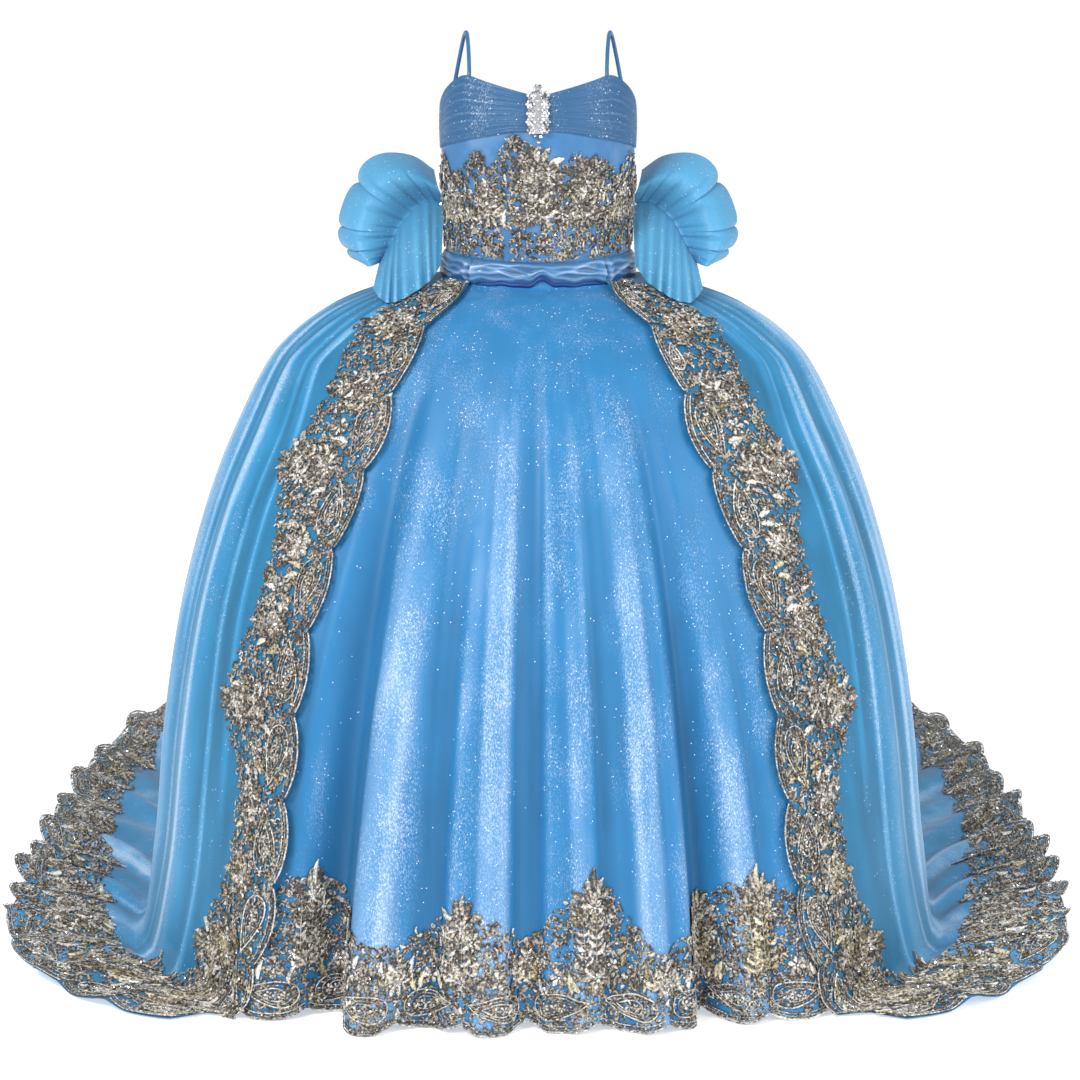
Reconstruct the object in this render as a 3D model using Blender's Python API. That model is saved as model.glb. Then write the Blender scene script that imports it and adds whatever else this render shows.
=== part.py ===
"""Girl's convertible pageant gown, filled out as if worn.

A strapped bodice with a full underskirt, and a sheer overskirt that opens at the front and runs on
into a train, on a gathered satin waistband with a large bow. Corded lace lies on the bodice, on the
hem, down the open front edges and round the train.

Metres, +Z up. The front looks along -Y and the wearer's right is at -X. The origin is the middle
of the waist, where the wearer holds the gown up, and the floor lies FLOOR_DROP below it.
"""
import math

import bpy
import numpy as np

# Driving sizes
FLOOR_DROP = 0.885
SEAM_GAP = 0.0003
BODICE_WALL = 0.0025
SKIRT_WALL = 0.002
SHEER_WALL = 0.0015
LACE_WALL = 0.0018
LACE_LIFT = 0.0021
BODICE_LACE_LIFT = 0.0008
OVERLAY_LIFT = 0.0016
OVERSKIRT_LIFT = 0.007
WAIST_LIFT = 0.0025
WAIST_RISE = 0.0045
FLOOR_LIFTS = (0.004, 0.0, 0.0, 0.0, 0.0)
STRAP_DIAMETER = 0.005
STRAP_TOP = 1.180
STRAP_SEAT = 0.012

# Underskirt outline: height above the floor, half the width, reach to the front and to the back,
# and how square the plan is, where 2 is an ellipse. The first two rows are the yoke at the waist.
SKIRT_COLUMNS = ("height", "half_width", "front", "back", "square")
SKIRT_ROWS = (
    (0.8925, 0.1190, 0.0970, 0.0960, 2.00),
    (0.8620, 0.1230, 0.1010, 0.1000, 2.00),
    (0.8500, 0.1900, 0.1350, 0.1550, 2.00),
    (0.8220, 0.2620, 0.1800, 0.2320, 2.00),
    (0.7680, 0.3220, 0.2320, 0.3020, 2.05),
    (0.6880, 0.3680, 0.2800, 0.3580, 2.10),
    (0.5800, 0.4120, 0.3250, 0.4080, 2.20),
    (0.4400, 0.4510, 0.3680, 0.4550, 2.30),
    (0.2900, 0.4760, 0.4050, 0.4920, 2.35),
    (0.1400, 0.4900, 0.4330, 0.5120, 2.45),
    (0.0000, 0.4970, 0.4500, 0.5250, 2.50),
)

# Wide corner folds that both skirts share: middle and half width in degrees from the front
# (minus is the wearer's right), depth outward at the hem, and the height where the fold starts.
CORNER_COLUMNS = ("angle", "half_width", "depth", "start")
CORNER_FOLDS = (
    (-41.0, 11.0, 0.034, 0.56),
    (41.0, 11.0, 0.024, 0.50),
)

# Folds of the underskirt's front, between the open edges: outward is plus, at the hem.
FRONT_FOLDS = (
    (-33.5, 5.5, -0.050, 0.80),
    (-25.0, 6.5, 0.036, 0.74),
    (-16.5, 3.5, -0.012, 0.66),
    (-8.5, 6.0, 0.022, 0.80),
    (-1.0, 4.0, -0.014, 0.84),
    (6.0, 4.0, 0.010, 0.58),
    (11.0, 3.5, -0.010, 0.72),
    (18.0, 6.5, 0.020, 0.80),
    (27.0, 4.5, -0.046, 0.78),
    (32.5, 3.5, 0.010, 0.50),
)

# Folds of the underskirt's sides and back go inward only, clear of the overskirt.
SIDE_FOLDS = (
    (-170.0, 7.0, -0.014, 0.60),
    (-152.0, 8.0, -0.020, 0.78),
    (-133.0, 6.0, -0.012, 0.55),
    (-114.0, 8.0, -0.022, 0.70),
    (-92.0, 7.0, -0.014, 0.60),
    (-70.0, 8.0, -0.018, 0.74),
    (54.0, 6.0, -0.012, 0.52),
    (72.0, 8.0, -0.020, 0.72),
    (95.0, 7.0, -0.015, 0.58),
    (117.0, 8.0, -0.022, 0.76),
    (138.0, 6.0, -0.013, 0.56),
    (160.0, 8.0, -0.018, 0.70),
)

# Underskirt panels: name, columns, and first and last direction in degrees from the front. They
# run from the centre back, by the side at -X, the front and the side at +X, to the centre back.
UNDERSKIRT_PANELS = (
    ("back_left", 10, -180.0, -111.0),
    ("side_left", 8, -111.0, -51.0),
    ("front", 28, -51.0, 51.0),
    ("side_right", 8, 51.0, 111.0),
    ("back_right", 10, 111.0, 180.0),
)

# Overskirt. Its rows down to just above the floor are the underskirt's, moved out, and the back is
# longer by train_back. Its front edge stands edge_x from the middle.
EDGE_COLUMNS = ("edge_x", "train_back")
EDGE_ROWS = (
    (0.078, 0.000),
    (0.094, 0.000),
    (0.124, 0.000),
    (0.158, 0.002),
    (0.184, 0.006),
    (0.240, 0.014),
    (0.283, 0.040),
    (0.309, 0.090),
    (0.328, 0.190),
)

# Overskirt on the floor: rise above it, half the width, reach to the front, reach to the back,
# place of the widest line, squareness and front edge. The last three rows carry the lace band.
FLOOR_COLUMNS = ("rise", "half_width", "front", "back", "centre", "square", "edge_x")
FLOOR_ROWS = (
    (0.0130, 0.5220, 0.4400, 0.8600, 0.00, 2.50, 0.350),
    (0.0020, 0.5430, 0.4520, 1.1200, 0.03, 2.55, 0.366),
    (0.0020, 0.5750, 0.4620, 1.3400, 0.10, 2.70, 0.390),
    (0.0020, 0.6550, 0.4680, 1.4200, 0.20, 3.00, 0.424),
    (0.0020, 0.7280, 0.4740, 1.5000, 0.28, 3.20, 0.456),
)
TRAIN_WAVE = 0.009
# Share of the corner folds and of the train's waves that is left on each floor row.
CORNER_FADE = (1.0, 0.8, 0.45, 0.2, 0.0)
WAVE_FADE = (1.0, 1.0, 0.8, 0.5, 0.0)

# Overskirt columns on each side: the first ones follow the front edge and carry the trim.
EDGE_STRIPS = 3
OVERSKIRT_STEPS = 32
TRIM_WIDTH = 0.114
WAIST_TRIM_WIDTH = 0.050
OVERSKIRT_SPLITS = (("front", 0, 11), ("side", 11, 22), ("back", 22, 32))

# Overskirt folds: column of the crest counted from the front edge, half width in columns, depth on
# the left and on the right, and the row where the fold starts.
GATHER_DEEPEST = 0.012
GATHER_COLUMNS = ("column", "half_width", "left", "right", "first_row")
GATHERS = (
    (6.0, 1.5, 0.005, 0.004, 2),
    (9.0, 1.9, 0.010, 0.012, 1),
    (12.0, 1.5, 0.004, 0.006, 3),
    (15.0, 1.9, 0.011, 0.008, 1),
    (18.0, 1.9, 0.007, 0.010, 1),
    (20.0, 1.5, 0.006, 0.004, 2),
    (23.0, 1.9, 0.012, 0.009, 1),
    (26.0, 1.5, 0.005, 0.008, 3),
    (28.0, 1.9, 0.010, 0.006, 1),
    (30.5, 1.4, 0.007, 0.009, 2),
)

# Bodice: height above the floor, half the width, depth to the front and to the back.
BODICE_ROWS = (
    (0.890, 0.1190, 0.0970, 0.0960),
    (0.930, 0.1195, 0.0985, 0.0960),
    (0.980, 0.1220, 0.1030, 0.0960),
    (1.030, 0.1240, 0.1090, 0.0950),
    (1.060, 0.1250, 0.1105, 0.0940),
    (1.090, 0.1240, 0.1050, 0.0910),
    (1.130, 0.1200, 0.0970, 0.0860),
)
BODICE_LEVELS = 5
BODICE_STEP = 7.5
HEM_FRONT = 0.8930
HEM_SIDE_RISE = 0.008

# Neckline: degrees from the front, height above the floor. The peak carries the strap.
NECKLINE = (
    (0.0, 1.103),
    (20.0, 1.109),
    (44.0, 1.1265),
    (63.0, 1.113),
    (90.0, 1.083),
    (120.0, 1.094),
    (150.0, 1.088),
    (180.0, 1.085),
)
OVERLAY_LOWER = ((0.0, 1.058), (15.0, 1.057), (60.0, 1.040), (90.0, 1.030))
OVERLAY_PLEATS = 7
OVERLAY_DEPTH = 0.0024

# Top of the bodice lace: degrees round the body from the front, height above the floor.
LACE_TOP = (
    (-180.0, 0.978),
    (-150.0, 0.968),
    (-135.0, 0.984),
    (-105.0, 0.972),
    (-90.0, 1.000),
    (-67.5, 1.030),
    (-52.5, 0.985),
    (-37.5, 1.026),
    (-30.0, 1.004),
    (-22.5, 1.044),
    (-7.5, 1.050),
    (0.0, 1.016),
    (15.0, 1.010),
    (22.5, 1.036),
    (37.5, 0.992),
    (52.5, 1.025),
    (60.0, 1.000),
    (75.0, 1.028),
    (90.0, 0.998),
    (105.0, 0.974),
    (135.0, 0.986),
    (150.0, 0.970),
    (180.0, 0.978),
)

# Front trim, at each quarter row down the front edge: how far its outer edge reaches, as a share
# of its width, where the leaf tips stand out.
TRIM_REACH = (0.92, 1.00, 0.94, 0.80, 1.28, 0.86, 0.92, 1.33, 0.90, 0.82, 1.02, 1.33, 0.92, 0.84, 1.16)
TRIM_STEPS = 4

# Underskirt hem lace: height of its top edge at each column, repeated round the hem.
HEM_TIPS = (0.078, 0.120, 0.150, 0.110, 0.084, 0.132, 0.096, 0.160)

# Waistband: lower edge above the floor, half width and taper of the yoke under it, the gap to it,
# its thickness at the edges and in the middle, the ripple, and the two tied lobes.
WAISTBAND_STEPS = 48
WAISTBAND_ROWS = 3
WAISTBAND_LOW = 0.8676
YOKE_HALF_WIDTH = 0.1232
YOKE_TAPER = 0.118
YOKE_FOOT = 0.862
YOKE_DEPTH_SHARE = 0.1010 / 0.1230
WAISTBAND_GAP = 0.0008
WAISTBAND_EDGE = 0.0018
WAISTBAND_BULGE = 0.003
WAISTBAND_RIPPLE = 0.0014
LOBE_ANGLES = (-46.0, 46.0)
LOBE_HALF_WIDTH = 9.0
LOBE_DEPTH = 0.006

BOW_PLEATS = 11
TAIL_PLEATS = 7
FAN_ROWS = 4
TAIL_ROWS = 3
FAN_START = 0.06
FAN_RUFFLE = (0.002, 0.012)
FAN_BELLY = 0.030
FAN_FLARE = 0.012
TAIL_RUFFLE = (0.001, 0.006)
TAIL_BELLY = 0.010
TAIL_DROP = 0.0045
# Gathered spine of the bow, from its top beside the bodice to its foot: half width, y, height.
BOW_SPINE = (
    (0.1213, 0.0392, 0.957),
    (0.1480, 0.036, 0.958),
    (0.1740, 0.024, 0.936),
    (0.1880, 0.010, 0.912),
    (0.2040, -0.006, 0.884),
)
# Outer edge of the bow's fan from the same top round to the same foot.
BOW_EDGE = (
    (0.1360, 0.052, 0.998),
    (0.1660, 0.048, 1.017),
    (0.2060, 0.042, 1.019),
    (0.2350, 0.034, 0.998),
    (0.2560, 0.018, 0.950),
    (0.2600, 0.008, 0.918),
    (0.2470, 0.000, 0.892),
    (0.2240, -0.006, 0.881),
)
# Lower edge of the bow's tail.
TAIL_EDGE = (
    (0.1340, 0.030, 0.890),
    (0.1460, 0.012, 0.880),
    (0.1660, -0.014, 0.872),
    (0.1880, -0.032, 0.867),
    (0.2100, -0.030, 0.864),
    (0.2240, -0.018, 0.864),
)

# Band of the bow across the back: first and last direction, top and foot above the floor, gap to
# the bodice, thickness, fold, and bulge of the band and of its knot.
BAND_DIRECTIONS = (112.0, 248.0, 8.0)
BAND_TOP = 0.962
BAND_FOOT = 0.910
BAND_ROWS = 4
BAND_GAP = 0.0050
BAND_WALL = 0.0026
BAND_FOLD = 0.0022
BAND_BULGE = 0.004
KNOT_BULGE = 0.014
KNOT_HALF_WIDTH = 14.0

# Brooch stones: rows down the cluster and stones across it.
BROOCH_TOP = 1.111
BROOCH_BOTTOM = 1.052
BROOCH_HALF_ANGLE = 8.0
BROOCH_ROWS = 10
BROOCH_ACROSS = 6
BROOCH_LIFT = 0.0046
BROOCH_WALL = 0.0016
BROOCH_STONE = 0.0026

# Base colour, roughness and metallic value of each cloth and finish.
FINISHES = {
    "glitter_tulle": ((0.07, 0.34, 0.66, 1.0), 0.45, 0.0),
    "sheer_organza": ((0.08, 0.30, 0.52, 1.0), 0.40, 0.0),
    "bodice_satin": ((0.06, 0.22, 0.46, 1.0), 0.40, 0.0),
    "pale_satin": ((0.22, 0.42, 0.76, 1.0), 0.30, 0.0),
    "corded_lace": ((0.36, 0.31, 0.23, 1.0), 0.45, 0.5),
    "rhinestone": ((0.85, 0.87, 0.90, 1.0), 0.10, 0.6),
}


def clear_scene():
    """Remove the objects of the open file."""
    for item in list(bpy.data.objects):
        bpy.data.objects.remove(item, do_unlink=True)


def finish(name):
    """Return the named finish as a Principled material."""
    material = bpy.data.materials.get(name)
    if material:
        return material
    colour, roughness, metallic = FINISHES[name]
    material = bpy.data.materials.new(name)
    material.use_nodes = True
    shader = material.node_tree.nodes["Principled BSDF"]
    shader.inputs["Base Color"].default_value = colour
    shader.inputs["Roughness"].default_value = roughness
    shader.inputs["Metallic"].default_value = metallic
    material.diffuse_color = colour
    return material


def rows_as_dicts(columns, rows):
    """Give each row of a table its column names."""
    return [dict(zip(columns, row)) for row in rows]


def read_table(table, place):
    """Straight-line value of a two-column table at a place."""
    places, values = zip(*table)
    return float(np.interp(place, places, values))


def smooth_curve(points, share):
    """Catmull-Rom point through a short list of points, for share from 0 to 1."""
    points = [np.array(point, float) for point in points]
    spans = len(points) - 1
    at = min(max(share, 0.0), 1.0) * spans
    index = min(int(at), spans - 1)
    t = at - index
    start, end = points[index], points[index + 1]
    before = points[index - 1] if index > 0 else 2 * start - end
    after = points[index + 2] if index + 2 <= spans else 2 * end - start
    slope_in = (end - before) / 2
    slope_out = (after - start) / 2
    return ((2 * t**3 - 3 * t**2 + 1) * start + (t**3 - 2 * t**2 + t) * slope_in
            + (3 * t**2 - 2 * t**3) * end + (t**3 - t**2) * slope_out)


def swell(distance, half_width):
    """Soft ridge: 1 on its crest and 0 at its half width and beyond."""
    share = abs(distance) / half_width
    return math.cos(share * math.pi / 2) ** 2 if share < 1 else 0.0


def angle_between(first, second):
    """Smallest turn between two directions in degrees."""
    return (first - second + 180.0) % 360.0 - 180.0


def plan_point(degrees, row, height):
    """Point of a level outline, by direction from its centre. 0 is the front, plus is +X."""
    turn = math.radians(degrees)
    across, ahead = math.sin(turn), math.cos(turn)
    centre = row.get("centre", 0.0)
    depth = row["front"] + centre if ahead > 0 else row["back"] - centre
    power = row.get("square", 2.0)
    reach = (abs(across / row["half_width"]) ** power + abs(ahead / depth) ** power) ** (-1 / power)
    return np.array((reach * across, centre - reach * ahead, height - FLOOR_DROP))


def fold_depth(folds, degrees, height):
    """Sum of the folds of a table at one direction and height."""
    total = 0.0
    for fold in folds:
        if height < fold["start"]:
            grown = (1 - height / fold["start"]) ** 0.8
            away = angle_between(degrees, fold["angle"])
            total += fold["depth"] * grown * swell(away, fold["half_width"])
    return total


def surface_normals(grid, closed=False):
    """Outward unit normals of a grid whose rows go down and whose columns turn to +X at the front."""
    if closed:
        ring = np.concatenate((grid[:, -2:-1], grid, grid[:, 1:2]), axis=1)
        along = (ring[:, 2:] - ring[:, :-2]) / 2
    else:
        along = np.gradient(grid, axis=1)
    down = np.gradient(grid, axis=0)
    normals = np.cross(down, along)
    return normals / np.linalg.norm(normals, axis=2, keepdims=True)


def inset_side(grid, last, amount=SEAM_GAP * 0.75):
    """Draw one side of a grid in by the seam's share of the gap."""
    edge, next_in = (-1, -2) if last else (0, 1)
    step = grid[:, next_in] - grid[:, edge]
    seam = np.gradient(grid[:, edge], axis=0)
    seam /= np.linalg.norm(seam, axis=1, keepdims=True)
    step -= seam * np.sum(step * seam, axis=1, keepdims=True)
    grid[:, edge] += step / np.linalg.norm(step, axis=1, keepdims=True) * amount


def leans_right(row, column):
    """Whether a cell is cut from its upper left to its lower right corner."""
    return (row + column) % 2 == 1


def cloth_wall(name, outer, inner, material, holes=(), first_column=0):
    """One closed wall from an outer and an inner grid, with whole cells left open as holes."""
    rows, columns = outer.shape[:2]
    count = rows * columns
    vertices = np.concatenate((outer.reshape(-1, 3), inner.reshape(-1, 3)))
    faces = []
    for row in range(rows - 1):
        for column in range(columns - 1):
            if (row, column) in holes:
                continue
            a = row * columns + column
            b, c, d = a + columns, a + columns + 1, a + 1
            if leans_right(row, column + first_column):
                faces += [(a, b, c), (a, c, d)]
            else:
                faces += [(a, b, d), (b, c, d)]
    directed = {(face[i], face[(i + 1) % 3]) for face in faces for i in range(3)}
    rim = [(start, end) for start, end in directed if (end, start) not in directed]
    solid = list(faces) + [(a + count, c + count, b + count) for a, b, c in faces]
    for start, end in sorted(rim):
        solid += [(end, start, start + count), (end, start + count, end + count)]
    used = sorted({index for face in solid for index in face})
    renumber = {old: new for new, old in enumerate(used)}
    mesh = bpy.data.meshes.new(name)
    mesh.from_pydata([tuple(vertices[i]) for i in used], [],
                     [tuple(renumber[i] for i in face) for face in solid])
    mesh.update()
    mesh.materials.append(finish(material))
    item = bpy.data.objects.new(name, mesh)
    bpy.context.scene.collection.objects.link(item)
    mesh.shade_smooth()
    mesh.set_sharp_from_angle(angle=math.radians(50))
    return item


def on_grid(grid, row, column):
    """Point on a grid's own triangles at a broken row and column, carried on past its sides."""
    rows, columns = grid.shape[:2]
    r = min(max(int(math.floor(row)), 0), rows - 2)
    c = min(max(int(math.floor(column)), 0), columns - 2)
    s, t = row - r, column - c
    upper_left, upper_right = grid[r, c], grid[r, c + 1]
    lower_left, lower_right = grid[r + 1, c], grid[r + 1, c + 1]
    if leans_right(r, c):
        if s > t:
            return upper_left + (lower_left - upper_left) * s + (lower_right - lower_left) * t
        return upper_left + (upper_right - upper_left) * t + (lower_right - upper_right) * s
    if s + t <= 1:
        return upper_left + (lower_left - upper_left) * s + (upper_right - upper_left) * t
    return lower_right + (upper_right - lower_right) * (1 - s) + (lower_left - lower_right) * (1 - t)


def laid_on(grid, normals, places, lift, wall, relief):
    """Outer and inner grids of a layer that lies on a panel, from its (row, column) places."""
    rows, columns = len(places), len(places[0])
    outer = np.zeros((rows, columns, 3))
    inner = np.zeros((rows, columns, 3))
    for r in range(rows):
        for c in range(columns):
            point = on_grid(grid, *places[r][c])
            normal = on_grid(normals, *places[r][c])
            normal = normal / np.linalg.norm(normal)
            inner[r, c] = point + normal * lift
            outer[r, c] = point + normal * (lift + wall + relief(r, c))
    for layer in (outer, inner):
        layer[:, :, 2] = np.maximum(layer[:, :, 2], -FLOOR_DROP)
    return outer, inner


def skirt_surface(directions):
    """Shared base of both skirts, row by row, all the way round from the centre back."""
    folds = rows_as_dicts(CORNER_COLUMNS, CORNER_FOLDS)
    grid = np.zeros((len(SKIRT_ROWS), len(directions), 3))
    for r, row in enumerate(rows_as_dicts(SKIRT_COLUMNS, SKIRT_ROWS)):
        for c, degrees in enumerate(directions):
            grid[r, c] = skirt_point(degrees, row, folds)
    return grid


def skirt_point(degrees, row, corner_folds, out=0.0):
    """Point of the skirts' base at one level, pushed out by the corner folds and by out."""
    point = plan_point(degrees, row, row["height"])
    if row["height"] > HEM_FRONT - 0.01:
        point[2] += HEM_SIDE_RISE * (point[0] / row["half_width"]) ** 2
    push = fold_depth(corner_folds, degrees, row["height"]) + out
    turn = math.radians(degrees)
    return point + np.array((math.sin(turn), -math.cos(turn), 0.0)) * push


def panel_columns():
    """Directions of all the underskirt's columns, and each panel's name, first and last column."""
    directions = [UNDERSKIRT_PANELS[0][2]]
    panels = []
    for name, columns, first, last in UNDERSKIRT_PANELS:
        start = len(directions) - 1
        directions += [first + (last - first) * (i + 1) / columns for i in range(columns)]
        panels.append((name, start, start + columns))
    return directions, panels


def build_underskirt():
    """Five panels, with folds pushed along the level direction. Returns its grid and normals."""
    directions, panels = panel_columns()
    grid = skirt_surface(directions)
    front = rows_as_dicts(CORNER_COLUMNS, FRONT_FOLDS)
    sides = rows_as_dicts(CORNER_COLUMNS, SIDE_FOLDS)
    for r, row in enumerate(rows_as_dicts(SKIRT_COLUMNS, SKIRT_ROWS)):
        if r < 2:
            continue
        for c, degrees in enumerate(directions):
            push = fold_depth(front, degrees, row["height"]) + fold_depth(sides, degrees, row["height"])
            turn = math.radians(degrees)
            grid[r, c] += np.array((math.sin(turn), -math.cos(turn), 0.0)) * push
    normals = surface_normals(grid, closed=True)
    for name, first, last in panels:
        outer = grid[:, first:last + 1].copy()
        inner = outer - normals[:, first:last + 1] * SKIRT_WALL
        inner[-1, :, 2] = outer[-1, :, 2]
        for side in (False, True):
            inset_side(outer, side)
            inset_side(inner, side)
        cloth_wall("underskirt_" + name, outer, inner, "glitter_tulle", first_column=first)
    return grid, normals


def build_hem_lace(grid, normals):
    """Applique round the hem, one piece on each panel, with gaps cut through."""
    last_row = len(SKIRT_ROWS) - 1
    tall = SKIRT_ROWS[last_row - 1][0]
    for name, first, last in panel_columns()[1]:
        columns = last - first
        places = []
        for share in (1.0, 0.60, 0.30, 0.0):
            line = []
            for column in range(first, last + 1):
                top = HEM_TIPS[column % len(HEM_TIPS)]
                foot = 0.002 + 0.010 * (column % 2)
                line.append((last_row - (foot + (top - foot) * share) / tall, column))
            places.append(line)

        def relief(r, c):
            return 0.0012 if (r + c) % 2 else 0.0

        outer, inner = laid_on(grid, normals, places, LACE_LIFT, LACE_WALL, relief)
        for side in (False, True):
            inset_side(outer, side)
            inset_side(inner, side)
        holes = {(1, c) for c in range(1, columns - 1, 2)}
        first_column = first + last_row - 2
        cloth_wall("hem_lace_" + name, outer, inner, "corded_lace", holes, first_column)


def edge_angle(row, edge_x):
    """Direction in which a level outline stands edge_x from the middle, ahead of its centre."""
    low, high = 0.0, 90.0
    while high - low > 1e-6:
        middle = (low + high) / 2
        if plan_point(middle, row, 0.0)[0] < edge_x:
            low = middle
        else:
            high = middle
    return low


def overskirt_directions(row, edge_x, strip):
    """Directions of one side's columns at a level, from the front edge to the centre back."""
    centre = np.array((0.0, row.get("centre", 0.0)))
    directions = [edge_angle(row, edge_x)]
    for _ in range(EDGE_STRIPS):
        reach = np.linalg.norm(plan_point(directions[-1], row, 0.0)[:2] - centre)
        directions.append(directions[-1] + math.degrees(strip / reach))
    rest = OVERSKIRT_STEPS - EDGE_STRIPS
    begin = directions[-1]
    directions += [begin + (180.0 - begin) * (i + 1) / rest for i in range(rest)]
    return directions


def gather_depth(gathers, column, row_index, side):
    """Depth of the overskirt's folds at one column and row."""
    total = 0.0
    for gather in gathers:
        grown = min(max((row_index - gather["first_row"]) / 3.0, 0.0), 1.0)
        depth = gather["left"] if side < 0 else gather["right"]
        total += depth * grown * swell(column - gather["column"], gather["half_width"])
    return total


def overskirt_side(side):
    """Grid of one side of the overskirt. Side -1 is at -X. Columns run from the front edge."""
    corner = rows_as_dicts(CORNER_COLUMNS, CORNER_FOLDS)
    gathers = rows_as_dicts(GATHER_COLUMNS, GATHERS)
    dome = rows_as_dicts(SKIRT_COLUMNS, SKIRT_ROWS)[1:-1]
    edges = rows_as_dicts(EDGE_COLUMNS, EDGE_ROWS)
    lines = []
    half_way = (WAIST_TRIM_WIDTH + TRIM_WIDTH) / 2
    widths = [WAIST_TRIM_WIDTH, half_way, half_way] + [TRIM_WIDTH] * (len(dome) - 3)
    for index, (level, edge, width) in enumerate(zip(dome, edges, widths)):
        level["back"] += edge["train_back"]
        directions = overskirt_directions(level, edge["edge_x"], width / EDGE_STRIPS)
        line = []
        for column, degrees in enumerate(directions):
            gathered = gather_depth(gathers, column, index, side)
            line.append(skirt_point(side * degrees, level, corner, out=gathered))
        lines.append(line)
    for index, level in enumerate(rows_as_dicts(FLOOR_COLUMNS, FLOOR_ROWS)):
        directions = overskirt_directions(level, level["edge_x"], TRIM_WIDTH / EDGE_STRIPS)
        line = []
        for column, degrees in enumerate(directions):
            wave = gather_depth(gathers, column, len(dome), side) / GATHER_DEEPEST * TRAIN_WAVE
            out = fold_depth(corner, side * degrees, 0.0) * CORNER_FADE[index]
            point = plan_point(side * degrees, level, level["rise"] + wave * WAVE_FADE[index])
            turn = math.radians(side * degrees)
            line.append(point + np.array((math.sin(turn), -math.cos(turn), 0.0)) * out)
        lines.append(line)
    grid = np.array(lines)
    if side < 0:
        grid = grid[:, ::-1]
    return grid


def level_at_middle(normals, column):
    """Turn the normals of the centre-back column into the middle plane."""
    normals[:, column, 0] = 0.0
    return normals / np.linalg.norm(normals, axis=2, keepdims=True)


def build_overskirt(side, word):
    """Three panels of one side. Returns the whole side's grid and normals, lifted off the base."""
    base = overskirt_side(side)
    middle_back = 0 if side < 0 else -1
    normals = level_at_middle(surface_normals(base), middle_back)
    lift = np.full(base.shape[0], OVERSKIRT_LIFT)
    lift[0] = WAIST_LIFT
    lift[len(EDGE_ROWS):] = FLOOR_LIFTS
    grid = base + normals * lift[:, None, None]
    grid[0, :, 2] = base[0, :, 2] + WAIST_RISE
    grid[:, middle_back, 0] = 0.0
    normals = level_at_middle(surface_normals(grid), middle_back)
    total = OVERSKIRT_STEPS
    for name, first, last in OVERSKIRT_SPLITS:
        if side < 0:
            first, last = total - last, total - first
        outer = grid[:, first:last + 1].copy()
        inner = outer - normals[:, first:last + 1] * SHEER_WALL
        inner[:, :, 2] = np.maximum(inner[:, :, 2], -FLOOR_DROP)
        for last_side in (False, True):
            inset_side(outer, last_side)
            inset_side(inner, last_side)
        cloth_wall("overskirt_" + name + "_" + word, outer, inner, "sheer_organza", first_column=first)
    return grid, normals


def edge_column(side, steps_in):
    """Column of a side's grid that lies steps_in from the front edge."""
    return OVERSKIRT_STEPS - steps_in if side < 0 else steps_in


def build_front_trim(side, word, grid, normals):
    """Wide applique down the open edge, scalloped inside and with leaf tips outside."""
    first_row, last_row = 0.25, len(EDGE_ROWS) + 0.5
    stations = int((last_row - first_row) * TRIM_STEPS)
    places = []
    for station in range(stations + 1):
        row = first_row + (last_row - first_row) * station / stations
        reach = TRIM_REACH[station % len(TRIM_REACH)]
        scallop = -0.16 if station % 2 else 0.0
        tip = EDGE_STRIPS * reach
        last_line = float(EDGE_STRIPS) if tip > EDGE_STRIPS + 0.3 else (2.0 + tip) / 2
        across = (scallop, 1.0, 2.0, last_line, tip)
        line = [(row, edge_column(side, steps)) for steps in across]
        places.append(line if side > 0 else line[::-1])

    def relief(r, c):
        return 0.0022 if (r + c) % 2 and 0 < c < 4 else 0.0

    outer, inner = laid_on(grid, normals, places, LACE_LIFT, LACE_WALL, relief)
    gap_column = 1 if side > 0 else 2
    holes = {(r, gap_column) for r in range(2, stations - 1, 2)}
    cloth_wall("front_trim_" + word, outer, inner, "corded_lace", holes)


def build_train_lace(side, word, grid, normals):
    """Applique round the train, from under the front trim to the centre back."""
    band = grid.shape[0] - 3
    half_steps = OVERSKIRT_STEPS * 3 // 2
    places = []
    for share in (0.0, 0.35, 0.65, 1.0):
        line = []
        for step in range(half_steps + 1):
            steps_in = 0.02 + (OVERSKIRT_STEPS - 0.02) * step / half_steps
            start = band - 0.10 * (step % 3) - 0.22 * (step % 5 == 2)
            end = band + 2.0 - 0.10 * (step % 2)
            line.append((start + (end - start) * share, edge_column(side, steps_in)))
        places.append(line if side > 0 else line[::-1])

    def relief(r, c):
        return 0.0026 if (r + c) % 2 and 0 < r < 3 else 0.0

    outer, inner = laid_on(grid, normals, places, LACE_LIFT, LACE_WALL, relief)
    inset_side(outer, side > 0)
    inset_side(inner, side > 0)
    holes = {(1, c) for c in range(3, half_steps - 2, 2)}
    cloth_wall("train_lace_" + word, outer, inner, "corded_lace", holes)


def bodice_point(degrees, height):
    """Point of the bodice's outer face at a direction and height above the floor."""
    heights, half_widths, fronts, backs = zip(*BODICE_ROWS)
    half_width, front, back = (np.interp(height, heights, values) for values in (half_widths, fronts, backs))
    turn = math.radians(degrees)
    depth = front if math.cos(turn) > 0 else back
    return np.array((half_width * math.sin(turn), -depth * math.cos(turn), height - FLOOR_DROP))


def bodice_grid(directions, top, bottom, levels):
    """Grid on the bodice between two height functions of the direction."""
    grid = np.zeros((levels + 1, len(directions), 3))
    for c, degrees in enumerate(directions):
        high, low = top(degrees), bottom(degrees)
        for r in range(levels + 1):
            grid[r, c] = bodice_point(degrees, high + (low - high) * r / levels)
    return grid


def body_normals(grid):
    """Level outward normals of a grid on the bodice, the same at a shared seam."""
    normals = grid * np.array((1.0, 1.0, 0.0))
    normals[:, :, 0] /= 0.122 ** 2
    normals[:, :, 1] /= 0.100 ** 2
    return normals / np.linalg.norm(normals, axis=2, keepdims=True)


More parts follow.
